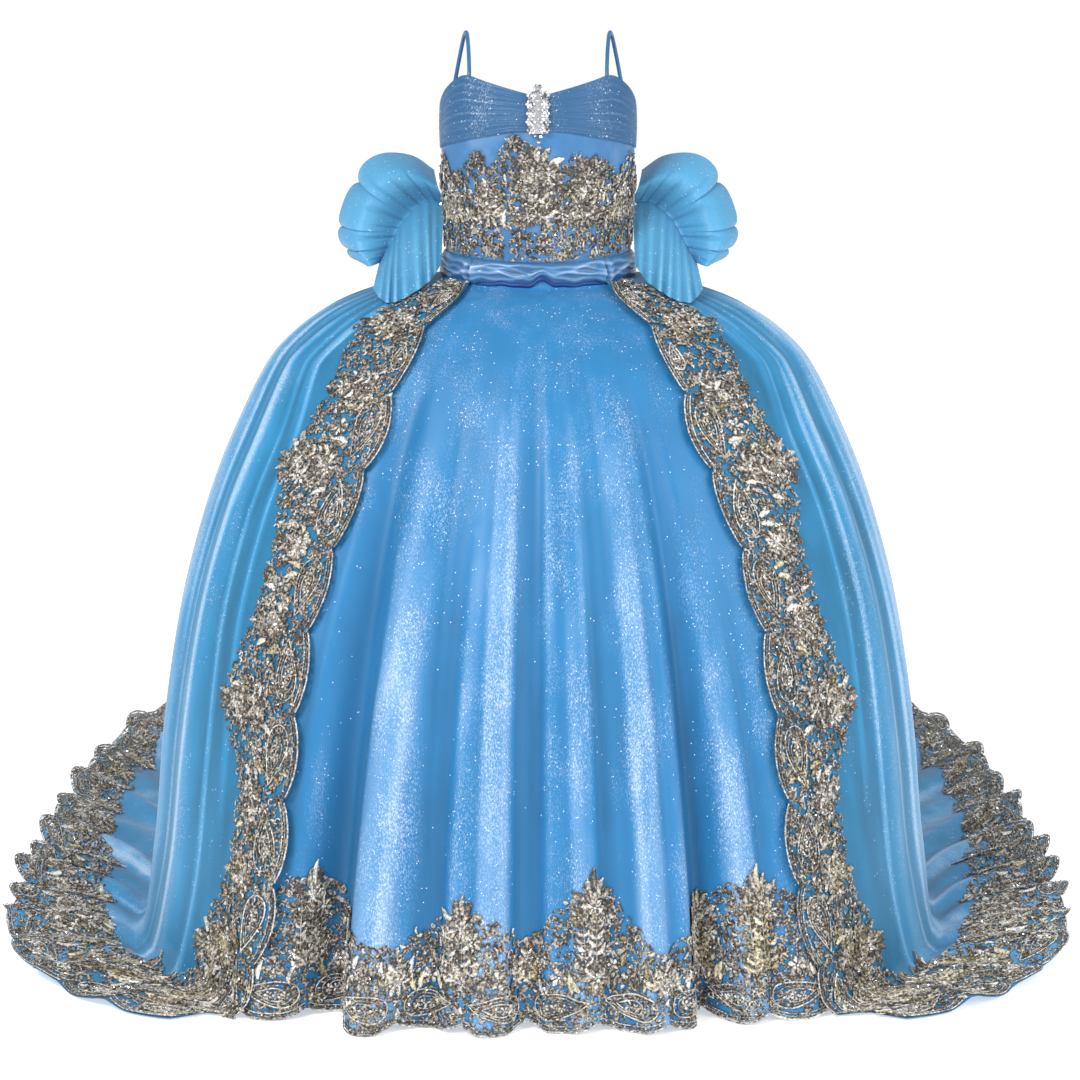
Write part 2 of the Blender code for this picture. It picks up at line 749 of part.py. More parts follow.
def neckline(degrees):
    """Height of the neckline at a direction."""
    return read_table(NECKLINE, abs(degrees))


def bodice_hem(degrees):
    """Height of the bodice's lower edge at a direction round its ellipse."""
    return HEM_FRONT + HEM_SIDE_RISE * math.sin(math.radians(degrees)) ** 2


def overlay_lower(degrees):
    """Height of the bust overlay's lower edge."""
    return read_table(OVERLAY_LOWER, abs(degrees))


def steps_between(first, last, step):
    """Directions from first to last, about a step apart."""
    count = max(1, round((last - first) / step))
    return [first + (last - first) * i / count for i in range(count + 1)]


def build_bodice():
    """Front and two back panels."""
    panels = (("front", -90.0, 90.0), ("back_left", -180.0, -90.0), ("back_right", 90.0, 180.0))
    for name, first, last in panels:
        directions = steps_between(first, last, BODICE_STEP)
        outer = bodice_grid(directions, neckline, bodice_hem, BODICE_LEVELS)
        inner = outer - body_normals(outer) * BODICE_WALL
        for side in (False, True):
            inset_side(outer, side)
            inset_side(inner, side)
        cloth_wall("bodice_" + name, outer, inner, "bodice_satin")


def lay_on_bodice(outer_base, lift, wall, relief):
    """Outer and inner grids of a layer over the bodice."""
    normals = body_normals(outer_base)
    inner = outer_base + normals * lift
    thickness = np.full(outer_base.shape[:2], wall)
    for r in range(outer_base.shape[0]):
        for c in range(outer_base.shape[1]):
            thickness[r, c] += relief(r, c)
    return outer_base + normals * (lift + thickness)[:, :, None], inner


def build_overlays():
    """Gathered bust overlay: ridges that run from the middle to the side seam and fan out."""
    levels = OVERLAY_PLEATS * 2
    for word, side in (("left", -1), ("right", 1)):
        directions = sorted(side * degrees for degrees in (2.0, 15.0, 30.0, 45.0, 60.0, 75.0, 89.0))
        grid = bodice_grid(directions, lambda a: neckline(a) - 0.0005, overlay_lower, levels)

        def relief(r, c):
            share = abs(directions[c]) / 90.0
            return OVERLAY_DEPTH * (r % 2) * math.sin(math.pi * (0.12 + 0.76 * share))

        outer, inner = lay_on_bodice(grid, OVERLAY_LIFT, 0.0010, relief)
        cloth_wall("bust_overlay_" + word, outer, inner, "glitter_tulle")


def build_bodice_lace():
    """Applique on the lower bodice, with pointed tops and gaps cut through."""
    places = (("front", -90.0, 90.0), ("back_left", -180.0, -90.0), ("back_right", 90.0, 180.0))
    for name, first, last in places:
        directions = steps_between(first, last, BODICE_STEP)

        def top(degrees):
            return min(read_table(LACE_TOP, degrees), overlay_lower(degrees) - 0.002)

        grid = bodice_grid(directions, top, lambda a: bodice_hem(a) + 0.001, 4)

        def relief(r, c):
            return 0.0014 if (r + c) % 2 and 0 < r < 4 else 0.0

        outer, inner = lay_on_bodice(grid, BODICE_LACE_LIFT, LACE_WALL, relief)
        for side in (False, True):
            inset_side(outer, side)
            inset_side(inner, side)
        holes = {(2, c) for c in range(1, len(directions) - 2, 3)}
        cloth_wall("bodice_lace_" + name, outer, inner, "corded_lace", holes)


def build_waistband():
    """Gathered satin band round the yoke, with a small tied lobe on each side of the front."""
    outer = np.zeros((WAISTBAND_ROWS + 1, WAISTBAND_STEPS + 1, 3))
    inner = np.zeros_like(outer)
    for c in range(WAISTBAND_STEPS + 1):
        degrees = -180.0 + 360.0 * c / WAISTBAND_STEPS
        top = bodice_hem(degrees) - 2 * SEAM_GAP
        lobe = sum(swell(angle_between(degrees, angle), LOBE_HALF_WIDTH) for angle in LOBE_ANGLES)
        swollen = WAISTBAND_BULGE + WAISTBAND_RIPPLE * (c % 2) + LOBE_DEPTH * lobe
        turn = math.radians(degrees)
        across = np.array((math.sin(turn), -math.cos(turn) * YOKE_DEPTH_SHARE, 0.0))
        for r in range(WAISTBAND_ROWS + 1):
            height = top + (WAISTBAND_LOW - top) * r / WAISTBAND_ROWS
            reach = YOKE_HALF_WIDTH - YOKE_TAPER * (height - YOKE_FOOT) + WAISTBAND_GAP
            shell = WAISTBAND_EDGE + swollen * math.sin(math.pi * r / WAISTBAND_ROWS)
            level = np.array((0.0, 0.0, height - FLOOR_DROP))
            inner[r, c] = across * reach + level
            outer[r, c] = across * (reach + shell) + level
    for side in (False, True):
        inset_side(outer, side)
        inset_side(inner, side)
    cloth_wall("satin_waistband", outer, inner, "pale_satin")


def build_brooch():
    """Stone cluster on the middle of the bust, as one closed relief."""
    directions = [BROOCH_HALF_ANGLE * (2 * i / BROOCH_ACROSS - 1) for i in range(BROOCH_ACROSS + 1)]
    grid = np.zeros((BROOCH_ROWS + 1, BROOCH_ACROSS + 1, 3))
    for r in range(BROOCH_ROWS + 1):
        height = BROOCH_TOP + (BROOCH_BOTTOM - BROOCH_TOP) * r / BROOCH_ROWS
        waist = 0.82 + 0.18 * math.cos(r * math.pi)
        narrow = 0.45 if r == BROOCH_ROWS else waist
        for c, degrees in enumerate(directions):
            grid[r, c] = bodice_point(degrees * narrow, height)

    def relief(r, c):
        inside = 0 < r < BROOCH_ROWS and 0 < c < BROOCH_ACROSS
        return BROOCH_STONE if inside and (r + c) % 2 else 0.0

    outer, inner = lay_on_bodice(grid, BROOCH_LIFT, BROOCH_WALL, relief)
    cloth_wall("brooch", outer, inner, "rhinestone")


def strap_inside(degrees, above_neckline):
    """Middle of a strap where it lies along the inside of the bodice."""
    point = bodice_point(degrees, neckline(degrees) + above_neckline)
    normal = body_normals(point.reshape(1, 1, 3))[0, 0]
    return point - normal * (BODICE_WALL + STRAP_DIAMETER / 2 + 0.0009)


def build_straps():
    """Rolled shoulder straps, from the front peak over the shoulder to the back edge."""
    sides = 6
    for word, side in (("left", -1), ("right", 1)):
        front = [strap_inside(side * 45.0, rise) for rise in (-STRAP_SEAT, STRAP_DIAMETER)]
        back = [strap_inside(side * 120.0, rise) for rise in (STRAP_DIAMETER, -STRAP_SEAT)]
        top = np.array((side * 0.0950, -0.004, STRAP_TOP - FLOOR_DROP - STRAP_DIAMETER / 2))
        before = top + np.array((side * -0.003, -0.034, -0.014))
        after = top + np.array((side * 0.004, 0.026, -0.020))
        route = (*front, before, top, after, *back)
        curve = bpy.data.curves.new("strap_" + word, "CURVE")
        curve.dimensions = "3D"
        spline = curve.splines.new("POLY")
        steps = 18
        spline.points.add(steps)
        for i in range(steps + 1):
            spline.points[i].co = (*smooth_curve(route, i / steps), 1.0)
        curve.bevel_depth = STRAP_DIAMETER / 2
        curve.bevel_resolution = (sides - 4) // 2
        curve.use_fill_caps = True
        curve.materials.append(finish("bodice_satin"))
        item = bpy.data.objects.new("strap_" + word, curve)
        bpy.context.scene.collection.objects.link(item)


def mirrored(points, side):
    """Points of the right side placed on either side."""
    return [(side * x, y, height - FLOOR_DROP) for x, y, height in points]


def pleat_share(share):
    """Depth of a pleat along a gathered edge, less towards both its ends."""
    return min(1.0, 4 * share, 4 * (1 - share))


def bow_fan(side):
    """Grid of one fan, from its gathered spine to its outer edge, with pleats that open outward."""
    spine, edge = mirrored(BOW_SPINE, side), mirrored(BOW_EDGE, side)
    pleats = BOW_PLEATS * 2
    grid = np.zeros((FAN_ROWS + 1, pleats + 1, 3))
    for c in range(pleats + 1):
        share = c / pleats
        root, tip = smooth_curve(spine, share), smooth_curve(edge, share)
        for r in range(FAN_ROWS + 1):
            out = FAN_START + (1 - FAN_START) * r / FAN_ROWS
            ruffle = (0.5 - c % 2) * (FAN_RUFFLE[0] + FAN_RUFFLE[1] * out) * pleat_share(share)
            ahead = ruffle + FAN_FLARE * out ** 4 - FAN_BELLY * math.sin(math.pi * out ** 1.3)
            grid[r, c] = root * (1 - out) + tip * out + np.array((0.0, ahead, 0.0))
    return grid


def bow_tail(side):
    """Grid of one tail, which hangs in pleats from the spine."""
    spine, fall = mirrored(BOW_SPINE, side), mirrored(TAIL_EDGE, side)
    pleats = TAIL_PLEATS * 2
    grid = np.zeros((TAIL_ROWS + 1, pleats + 1, 3))
    for c in range(pleats + 1):
        share = c / pleats
        head = smooth_curve(spine, share) - np.array((0.0, 0.0, TAIL_DROP))
        foot = smooth_curve(fall, share)
        for r in range(TAIL_ROWS + 1):
            down = r / TAIL_ROWS
            ruffle = (0.5 - c % 2) * (TAIL_RUFFLE[0] + TAIL_RUFFLE[1] * down) * pleat_share(share)
            ahead = ruffle - TAIL_BELLY * math.sin(math.pi * down)
            grid[r, c] = head * (1 - down) + foot * down + np.array((0.0, ahead, 0.0))
    return grid


def build_bow_side(side, word):
    """Pleated fan and hanging tail of one side of the bow."""
    fan, tail = bow_fan(side), bow_tail(side)
    if side > 0:
        fan = fan[:, ::-1]
    else:
        tail = tail[:, ::-1]
    for name, grid in (("bow_fan_", fan), ("bow_tail_", tail)):
        half = surface_normals(grid) * SHEER_WALL / 2
        cloth_wall(name + word, grid + half, grid - half, "sheer_organza")


def build_bow_band():
    """Gathered band of the bow across the back waist, with the knot in the middle."""
    directions = steps_between(*BAND_DIRECTIONS)
    outer = np.zeros((BAND_ROWS + 1, len(directions), 3))
    inner = np.zeros_like(outer)
    for c, degrees in enumerate(directions):
        knot = swell(degrees - 180.0, KNOT_HALF_WIDTH)
        for r in range(BAND_ROWS + 1):
            point = bodice_point(degrees, BAND_TOP + (BAND_FOOT - BAND_TOP) * r / BAND_ROWS)
            normal = body_normals(point.reshape(1, 1, 3))[0, 0]
            swollen = (BAND_BULGE + KNOT_BULGE * knot) * math.sin(math.pi * r / BAND_ROWS)
            inner[r, c] = point + normal * BAND_GAP
            outer[r, c] = inner[r, c] + normal * (BAND_WALL + BAND_FOLD * (r % 2) + swollen)
    cloth_wall("bow_band", outer, inner, "sheer_organza")


def main():
    """Build every piece of the gown."""
    clear_scene()
    skirt, skirt_normals = build_underskirt()
    build_hem_lace(skirt, skirt_normals)
    for side, word in ((-1, "left"), (1, "right")):
        grid, normals = build_overskirt(side, word)
        build_front_trim(side, word, grid, normals)
        build_train_lace(side, word, grid, normals)
        build_bow_side(side, word)
    build_bodice()
    build_overlays()
    build_bodice_lace()
    build_waistband()
    build_brooch()
    build_straps()
    build_bow_band()


main()
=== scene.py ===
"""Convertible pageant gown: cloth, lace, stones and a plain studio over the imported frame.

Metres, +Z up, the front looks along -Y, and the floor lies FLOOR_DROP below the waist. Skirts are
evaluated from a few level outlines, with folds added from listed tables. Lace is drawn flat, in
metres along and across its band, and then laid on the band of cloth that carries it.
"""
import math

import bpy
import numpy as np
from bpy.props import FloatProperty, FloatVectorProperty, IntProperty, PointerProperty
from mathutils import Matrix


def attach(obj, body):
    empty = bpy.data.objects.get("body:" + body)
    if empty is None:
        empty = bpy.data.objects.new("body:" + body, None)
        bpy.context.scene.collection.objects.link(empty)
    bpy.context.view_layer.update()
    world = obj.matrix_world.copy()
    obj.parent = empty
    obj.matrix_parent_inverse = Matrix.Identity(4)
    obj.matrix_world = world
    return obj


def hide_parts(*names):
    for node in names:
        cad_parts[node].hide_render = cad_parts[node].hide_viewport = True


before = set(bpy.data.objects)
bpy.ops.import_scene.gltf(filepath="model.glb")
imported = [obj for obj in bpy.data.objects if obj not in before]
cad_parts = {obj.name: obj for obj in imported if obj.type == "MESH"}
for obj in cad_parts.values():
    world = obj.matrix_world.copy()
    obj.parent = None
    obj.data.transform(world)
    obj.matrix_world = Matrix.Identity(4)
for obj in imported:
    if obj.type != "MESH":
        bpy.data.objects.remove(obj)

bl_info = {
    "name": "Convertible gown",
    "version": (1, 0, 0),
    "blender": (4, 5, 0),
    "location": "3D View > Sidebar > Gown",
    "description": "Builds a convertible pageant gown with its lace and a studio",
    "category": "Add Mesh",
}

FLOOR_DROP = 0.885

# Level outlines of both skirts: height above the floor, half the width, reach to the front and to
# the back, and squareness, where 2 is an ellipse.
SKIRT_COLUMNS = ("height", "half_width", "front", "back", "square")
SKIRT_ROWS = (
    (0.8925, 0.1190, 0.0970, 0.0960, 2.00),
    (0.8620, 0.1230, 0.1010, 0.1000, 2.00),
    (0.8500, 0.1900, 0.1350, 0.1550, 2.00),
    (0.8220, 0.2620, 0.1800, 0.2320, 2.00),
    (0.7680, 0.3220, 0.2320, 0.3020, 2.05),
    (0.6880, 0.3680, 0.2800, 0.3580, 2.10),
    (0.5800, 0.4120, 0.3250, 0.4080, 2.20),
    (0.4400, 0.4510, 0.3680, 0.4550, 2.30),
    (0.2900, 0.4760, 0.4050, 0.4920, 2.35),
    (0.1400, 0.4900, 0.4330, 0.5120, 2.45),
    (0.0000, 0.4970, 0.4500, 0.5250, 2.50),
)

# Folds: middle and half width in degrees from the front (minus is the wearer's right), depth
# outward at the hem, height where the fold starts, and degrees that it drifts per metre down.
FOLD_COLUMNS = ("angle", "half_width", "depth", "start", "drift")
CORNER_FOLDS = (
    (-41.0, 11.0, 0.034, 0.56, 0.0),
    (41.0, 11.0, 0.024, 0.50, 0.0),
)
FRONT_FOLDS = (
    (-33.5, 5.5, -0.050, 0.80, 0.0),
    (-25.0, 6.5, 0.036, 0.74, 0.0),
    (-16.5, 3.5, -0.012, 0.66, 0.0),
    (-8.5, 6.0, 0.022, 0.80, 0.0),
    (-1.0, 4.0, -0.014, 0.84, 0.0),
    (6.0, 4.0, 0.010, 0.58, 0.0),
    (11.0, 3.5, -0.010, 0.72, 0.0),
    (18.0, 6.5, 0.020, 0.80, 0.0),
    (27.0, 4.5, -0.046, 0.78, 0.0),
    (32.5, 3.5, 0.010, 0.50, 0.0),
)
SIDE_FOLDS = (
    (-170.0, 7.0, -0.014, 0.60, 0.0),
    (-152.0, 8.0, -0.020, 0.78, 0.0),
    (-133.0, 6.0, -0.012, 0.55, 0.0),
    (-114.0, 8.0, -0.022, 0.70, 0.0),
    (-92.0, 7.0, -0.014, 0.60, 0.0),
    (-70.0, 8.0, -0.018, 0.74, 0.0),
    (54.0, 6.0, -0.012, 0.52, 0.0),
    (72.0, 8.0, -0.020, 0.72, 0.0),
    (95.0, 7.0, -0.015, 0.58, 0.0),
    (117.0, 8.0, -0.022, 0.76, 0.0),
    (138.0, 6.0, -0.013, 0.56, 0.0),
    (160.0, 8.0, -0.018, 0.70, 0.0),
)
# Smaller creases between those folds.
CREASES = (
    (-40.0, 2.2, -0.007, 0.62, 2.0),
    (-36.5, 1.6, 0.005, 0.44, -1.0),
    (-29.6, 2.0, -0.008, 0.70, 0.5),
    (-22.2, 1.6, 0.005, 0.52, -2.0),
    (-19.4, 1.8, -0.006, 0.76, 1.0),
    (-13.0, 2.0, 0.007, 0.64, -1.5),
    (-10.4, 1.4, -0.004, 0.80, 0.0),
    (-6.0, 1.5, 0.005, 0.86, 1.0),
    (-3.4, 1.2, -0.004, 0.72, 0.0),
    (2.2, 1.7, 0.007, 0.86, -0.8),
    (4.6, 1.3, -0.005, 0.66, 0.0),
    (8.4, 1.6, 0.006, 0.80, 1.6),
    (14.0, 1.8, -0.006, 0.84, 0.8),
    (16.0, 1.4, 0.004, 0.50, 0.0),
    (21.2, 1.8, -0.007, 0.72, -1.0),
    (23.8, 1.5, 0.005, 0.60, 0.0),
    (30.0, 1.9, 0.007, 0.66, 1.4),
    (36.0, 1.8, -0.007, 0.58, -1.2),
    (-64.0, 3.2, -0.006, 0.58, 0.0),
    (-82.0, 3.4, -0.006, 0.48, 0.0),
    (-103.0, 3.2, -0.007, 0.66, 0.0),
    (-124.0, 3.6, -0.006, 0.50, 0.0),
    (-143.0, 3.2, -0.007, 0.62, 0.0),
    (-161.0, 3.4, -0.006, 0.54, 0.0),
    (62.0, 3.4, -0.006, 0.60, 0.0),
    (84.0, 3.2, -0.007, 0.52, 0.0),
    (106.0, 3.6, -0.006, 0.64, 0.0),
    (127.0, 3.2, -0.007, 0.48, 0.0),
    (149.0, 3.4, -0.006, 0.60, 0.0),
    (171.0, 3.2, -0.006, 0.56, 0.0),
)

# Overskirt levels from the waist to the train's edge. It stands lift off the shared outline. The
# corner folds are read at fold_height and kept by corner, gathers push out by gather, and lift the
# floor rows by wave.
OVER_COLUMNS = ("height", "half_width", "front", "back", "centre", "square", "edge_x", "lift",
                "fold_height", "corner", "gather", "wave")
OVER_ROWS = (
    (0.8665, 0.1230, 0.1010, 0.1000, 0.00, 2.00, 0.078, 0.0025, 0.862, 1.00, 1.0, 0.0),
    (0.8500, 0.1900, 0.1350, 0.1550, 0.00, 2.00, 0.094, 0.0070, 0.850, 1.00, 1.0, 0.0),
    (0.8220, 0.2620, 0.1800, 0.2320, 0.00, 2.00, 0.124, 0.0070, 0.822, 1.00, 1.0, 0.0),
    (0.7680, 0.3220, 0.2320, 0.3040, 0.00, 2.05, 0.158, 0.0070, 0.768, 1.00, 1.0, 0.0),
    (0.6880, 0.3680, 0.2800, 0.3640, 0.00, 2.10, 0.184, 0.0070, 0.688, 1.00, 1.0, 0.0),
    (0.5800, 0.4120, 0.3250, 0.4220, 0.00, 2.20, 0.230, 0.0070, 0.580, 1.00, 1.0, 0.0),
    (0.4400, 0.4510, 0.3680, 0.4950, 0.00, 2.30, 0.265, 0.0070, 0.440, 1.00, 1.0, 0.0),
    (0.2900, 0.4760, 0.4050, 0.5820, 0.00, 2.35, 0.281, 0.0070, 0.290, 1.00, 1.0, 0.0),
    (0.1400, 0.4900, 0.4330, 0.7020, 0.00, 2.45, 0.298, 0.0070, 0.140, 1.00, 1.0, 0.0),
    (0.0130, 0.5220, 0.4400, 0.8600, 0.00, 2.50, 0.332, 0.0040, 0.000, 1.00, 0.0, 1.0),
    (0.0020, 0.5430, 0.4520, 1.1200, 0.03, 2.55, 0.352, 0.0010, 0.000, 0.80, 0.0, 1.0),
    (0.0020, 0.5750, 0.4620, 1.3400, 0.10, 2.70, 0.380, 0.0010, 0.000, 0.45, 0.0, 0.8),
    (0.0020, 0.6550, 0.4680, 1.4200, 0.20, 3.00, 0.424, 0.0010, 0.000, 0.20, 0.0, 0.5),
    (0.0020, 0.7280, 0.4740, 1.5000, 0.28, 3.20, 0.456, 0.0010, 0.000, 0.00, 0.0, 0.0),
)
# Columns of each side: narrow ones under the front trim and the rest. The trim widens between two
# heights, and the ripples of the train start and are full at two levels.
EDGE_STRIPS = 3
OVER_STEPS = 32
TRIM_WIDTH = 0.114
WAIST_TRIM_WIDTH = 0.050
TRIM_WIDENS = (0.862, 0.768)
TRAIN_WAVE = 0.009
RIPPLE_LEVELS = (9.6, 11.8)
RIPPLE_MEAN = 0.010
GATHER_DEEPEST = 0.012
SMALL_GATHER_DEEPEST = 0.005
# Half width and strength of the painted highlights on the edges of single folds.
FOLD_HIGHLIGHT_HALF_WIDTH = 0.26
FOLD_HIGHLIGHT_STRENGTH = 0.42

# Overskirt folds: column of the crest counted from the front edge, half width in columns, depth on
# the left and on the right, and the levels where the fold starts and dies out.
GATHER_COLUMNS = ("column", "half_width", "left", "right", "start", "end")
GATHERS = (
    (6.0, 1.5, 0.005, 0.004, 2.0, 30.0),
    (9.0, 1.9, 0.010, 0.012, 1.0, 30.0),
    (12.0, 1.5, 0.004, 0.006, 3.0, 30.0),
    (15.0, 1.9, 0.011, 0.008, 1.0, 30.0),
    (18.0, 1.9, 0.007, 0.010, 1.0, 30.0),
    (20.0, 1.5, 0.006, 0.004, 2.0, 30.0),
    (23.0, 1.9, 0.012, 0.009, 1.0, 30.0),
    (26.0, 1.5, 0.005, 0.008, 3.0, 30.0),
    (28.0, 1.9, 0.010, 0.006, 1.0, 30.0),
    (30.5, 1.4, 0.007, 0.009, 2.0, 30.0),
)
SMALL_GATHERS = (
    (3.9, 0.40, 0.004, 0.003, 0.4, 4.6),
    (4.9, 0.45, 0.003, 0.005, 0.3, 3.8),
    (6.1, 0.35, 0.004, 0.003, 0.4, 6.4),
    (7.2, 0.50, 0.005, 0.004, 0.3, 4.2),
    (8.3, 0.35, 0.003, 0.004, 0.4, 3.4),
    (9.4, 0.45, 0.004, 0.005, 0.3, 7.0),
    (10.5, 0.40, 0.005, 0.003, 0.4, 5.0),
    (11.3, 0.35, 0.003, 0.004, 0.3, 3.6),
    (12.6, 0.50, 0.005, 0.005, 0.4, 6.0),
    (13.7, 0.40, 0.003, 0.004, 0.3, 4.0),
    (14.6, 0.35, 0.004, 0.003, 0.4, 3.2),
    (15.8, 0.45, 0.005, 0.004, 0.3, 7.4),
    (16.9, 0.40, 0.003, 0.005, 0.4, 4.8),
    (18.0, 0.50, 0.004, 0.003, 0.3, 3.8),
    (19.0, 0.35, 0.005, 0.004, 0.4, 6.6),
    (20.1, 0.45, 0.003, 0.005, 0.3, 4.4),
    (21.4, 0.40, 0.004, 0.004, 0.4, 3.4),
    (22.5, 0.50, 0.005, 0.003, 0.3, 7.2),
    (23.6, 0.35, 0.003, 0.004, 0.4, 4.0),
    (24.8, 0.45, 0.004, 0.005, 0.3, 5.2),
    (25.9, 0.40, 0.005, 0.003, 0.4, 3.6),
    (27.0, 0.50, 0.003, 0.004, 0.3, 6.8),
    (28.2, 0.35, 0.004, 0.005, 0.4, 4.4),
    (29.4, 0.45, 0.005, 0.003, 0.3, 3.8),
    (30.6, 0.40, 0.003, 0.004, 0.4, 5.6),
)

# Painted highlights on the edges of single folds: column, column at the foot, and the levels where they
# start and end.
FOLD_HIGHLIGHT_COLUMNS = ("column", "foot", "start", "end")
FOLD_HIGHLIGHTS = (
    (4.1, 3.7, 1.2, 7.5),
    (5.2, 4.4, 2.0, 11.5),
    (6.3, 6.9, 4.0, 12.5),
    (7.6, 7.9, 3.5, 10.0),
    (8.6, 8.2, 0.8, 6.5),
    (10.8, 11.6, 2.5, 12.0),
    (13.2, 13.0, 1.0, 8.0),
    (14.3, 15.1, 4.0, 12.5),
    (16.6, 16.2, 1.5, 10.5),
    (19.2, 20.0, 2.0, 12.0),
    (21.8, 21.4, 0.8, 7.5),
    (24.1, 24.9, 3.0, 12.5),
    (26.8, 26.5, 1.2, 9.0),
    (29.1, 29.8, 2.4, 12.0),
    (31.2, 31.0, 1.0, 10.0),
)

# Ripples of the train's edge on the floor: column, half width in columns, and rise on the left and
# on the right.
RIPPLE_COLUMNS = ("column", "half_width", "left", "right")
RIPPLES = (
    (2.6, 1.1, 0.010, 0.014),
    (4.6, 0.9, 0.018, 0.012),
    (6.5, 1.2, 0.012, 0.022),
    (8.3, 0.8, 0.022, 0.014),
    (10.0, 1.0, 0.014, 0.018),
    (11.8, 1.1, 0.024, 0.020),
    (13.4, 0.8, 0.014, 0.024),
    (15.2, 1.0, 0.022, 0.014),
    (17.1, 1.2, 0.016, 0.022),
    (19.2, 0.9, 0.020, 0.012),
    (21.0, 1.1, 0.012, 0.018),
    (23.2, 0.9, 0.018, 0.014),
    (25.1, 1.2, 0.014, 0.020),
    (27.3, 0.9, 0.020, 0.014),
    (29.4, 1.1, 0.012, 0.018),
)

# Bodice: height above the floor, half the width, depth to the front and to the back.
BODICE_ROWS = (
    (0.890, 0.1190, 0.0970, 0.0960),
    (0.930, 0.1195, 0.0985, 0.0960),
    (0.980, 0.1220, 0.1030, 0.0960),
    (1.030, 0.1240, 0.1090, 0.0950),
    (1.060, 0.1250, 0.1105, 0.0940),
    (1.090, 0.1240, 0.1050, 0.0910),
    (1.130, 0.1200, 0.0970, 0.0860),
)
HEM_FRONT = 0.8930
HEM_SIDE_RISE = 0.008
NECKLINE = ((0.0, 1.1010), (22.0, 1.1130), (36.0, 1.1205), (49.0, 1.1275), (58.0, 1.1215), (70.0, 1.1090),
            (90.0, 1.0830), (120.0, 1.0930), (150.0, 1.0880), (180.0, 1.0850))
OVERLAY_LOWER = ((0.0, 1.058), (15.0, 1.057), (60.0, 1.040), (90.0, 1.030))
LACE_TOP = (
    (-180.0, 0.978), (-150.0, 0.968), (-135.0, 0.984), (-105.0, 0.972), (-90.0, 1.004), (-76.0, 1.036),
    (-62.0, 1.000), (-50.0, 1.012), (-38.0, 1.034), (-29.0, 1.004), (-22.0, 1.046), (-10.0, 1.058),
    (-2.0, 1.040), (6.0, 1.026), (15.0, 1.014), (25.0, 1.040), (33.0, 1.012), (43.0, 1.028), (54.0, 0.998),
    (66.0, 1.024), (78.0, 1.034), (92.0, 1.000), (105.0, 0.974), (135.0, 0.986), (150.0, 0.970),
    (180.0, 0.978),
)
# The bodice's half width and depth for its normals, its mean radius, the repeat of its lace, its
# wall and the rolled edge along its neckline.
BODICE_SHAPE = (0.122, 0.100)
BODICE_RADIUS = 0.112
BODICE_REPEAT = 0.117
BODICE_WALL = 0.0022
NECK_ROLL = 0.0012
# Closing down the centre back, from one direction to the other, and how far it stands out.
CLOSURE = (177.6, 182.4)
CLOSURE_LIFT = 0.0014
CLOSURE_CROWN = 0.0006
# Loose stitches over the bodice's lace: number in a repeat, width, reach and sideways spread.
LOOSE_STITCHES = 34
LOOSE_WIDTH = 0.0034
LOOSE_REACH = (0.008, 0.014)
LOOSE_SPREAD = 0.0015
# Main flowers of the bodice: direction, height above its lower edge, radius, petals and tone.
BUST_FLOWER_COLUMNS = ("angle", "height", "radius", "petals", "tone")
BUST_FLOWERS = (
    (6.0, 0.112, 0.0165, 10, 0.60),
    (-14.0, 0.150, 0.0120, 8, 0.44),
    (-8.0, 0.128, 0.0100, 7, 0.52),
    (-38.0, 0.126, 0.0125, 8, 0.34),
    (37.0, 0.118, 0.0100, 7, 0.46),
    (54.0, 0.094, 0.0115, 8, 0.50),
    (-54.0, 0.100, 0.0110, 8, 0.46),
    (-25.0, 0.082, 0.0130, 8, 0.54),
    (25.0, 0.070, 0.0140, 9, 0.50),
    (-6.0, 0.058, 0.0130, 8, 0.48),
    (44.0, 0.048, 0.0120, 8, 0.56),
    (-44.0, 0.052, 0.0120, 8, 0.50),
    (84.0, 0.086, 0.0110, 8, 0.46),
    (-84.0, 0.088, 0.0110, 8, 0.50),
    (121.0, 0.058, 0.0115, 8, 0.52),
    (-119.0, 0.060, 0.0115, 8, 0.48),
    (152.0, 0.046, 0.0120, 8, 0.50),
    (-151.0, 0.048, 0.0120, 8, 0.52),
)
# Folds of the gathered bust: place downward, half width, depth and sway as shares of its height.
BUST_FOLD_COLUMNS = ("share", "half_width", "depth", "sway")
BUST_FOLDS = (
    (0.04, 0.030, 0.0007, 0.00),
    (0.10, 0.026, 0.0010, 0.03),
    (0.17, 0.030, 0.0006, -0.02),
    (0.24, 0.026, 0.0012, 0.02),
    (0.31, 0.034, 0.0008, 0.05),
    (0.39, 0.026, 0.0011, -0.02),
    (0.46, 0.030, 0.0006, 0.02),
    (0.53, 0.034, 0.0013, 0.04),
    (0.60, 0.026, 0.0007, -0.02),
    (0.67, 0.034, 0.0012, 0.03),
    (0.74, 0.026, 0.0006, 0.01),
    (0.81, 0.032, 0.0012, -0.01),
    (0.88, 0.026, 0.0008, 0.02),
    (0.95, 0.030, 0.0010, 0.00),
)
BUST_DEEPEST = 0.0013
# The bust overlay: directions of its sides, its lift off the bodice, its thickness with the folds,
# and the share of its height over which its lower edge thins out.
OVERLAY_SIDES = (2.0, 89.5)
OVERLAY_LIFT = 0.0006
OVERLAY_FULL = 0.0012
OVERLAY_EDGE = 0.03
# Straps: directions of their front and back seats, points over the shoulder, radius, how deep their
# ends lie in the bodice and behind its face, and how far above the neckline they bend.
STRAP_SEATS = (49.0, 111.0)
STRAP_TOP = ((0.0885, -0.034, 1.1630), (0.0920, -0.004, 1.1775), (0.0985, 0.022, 1.1560))
STRAP_RADIUS = 0.0026
STRAP_SUNK = 0.012
STRAP_INSET = 0.0055
STRAP_LEAVES = 0.004

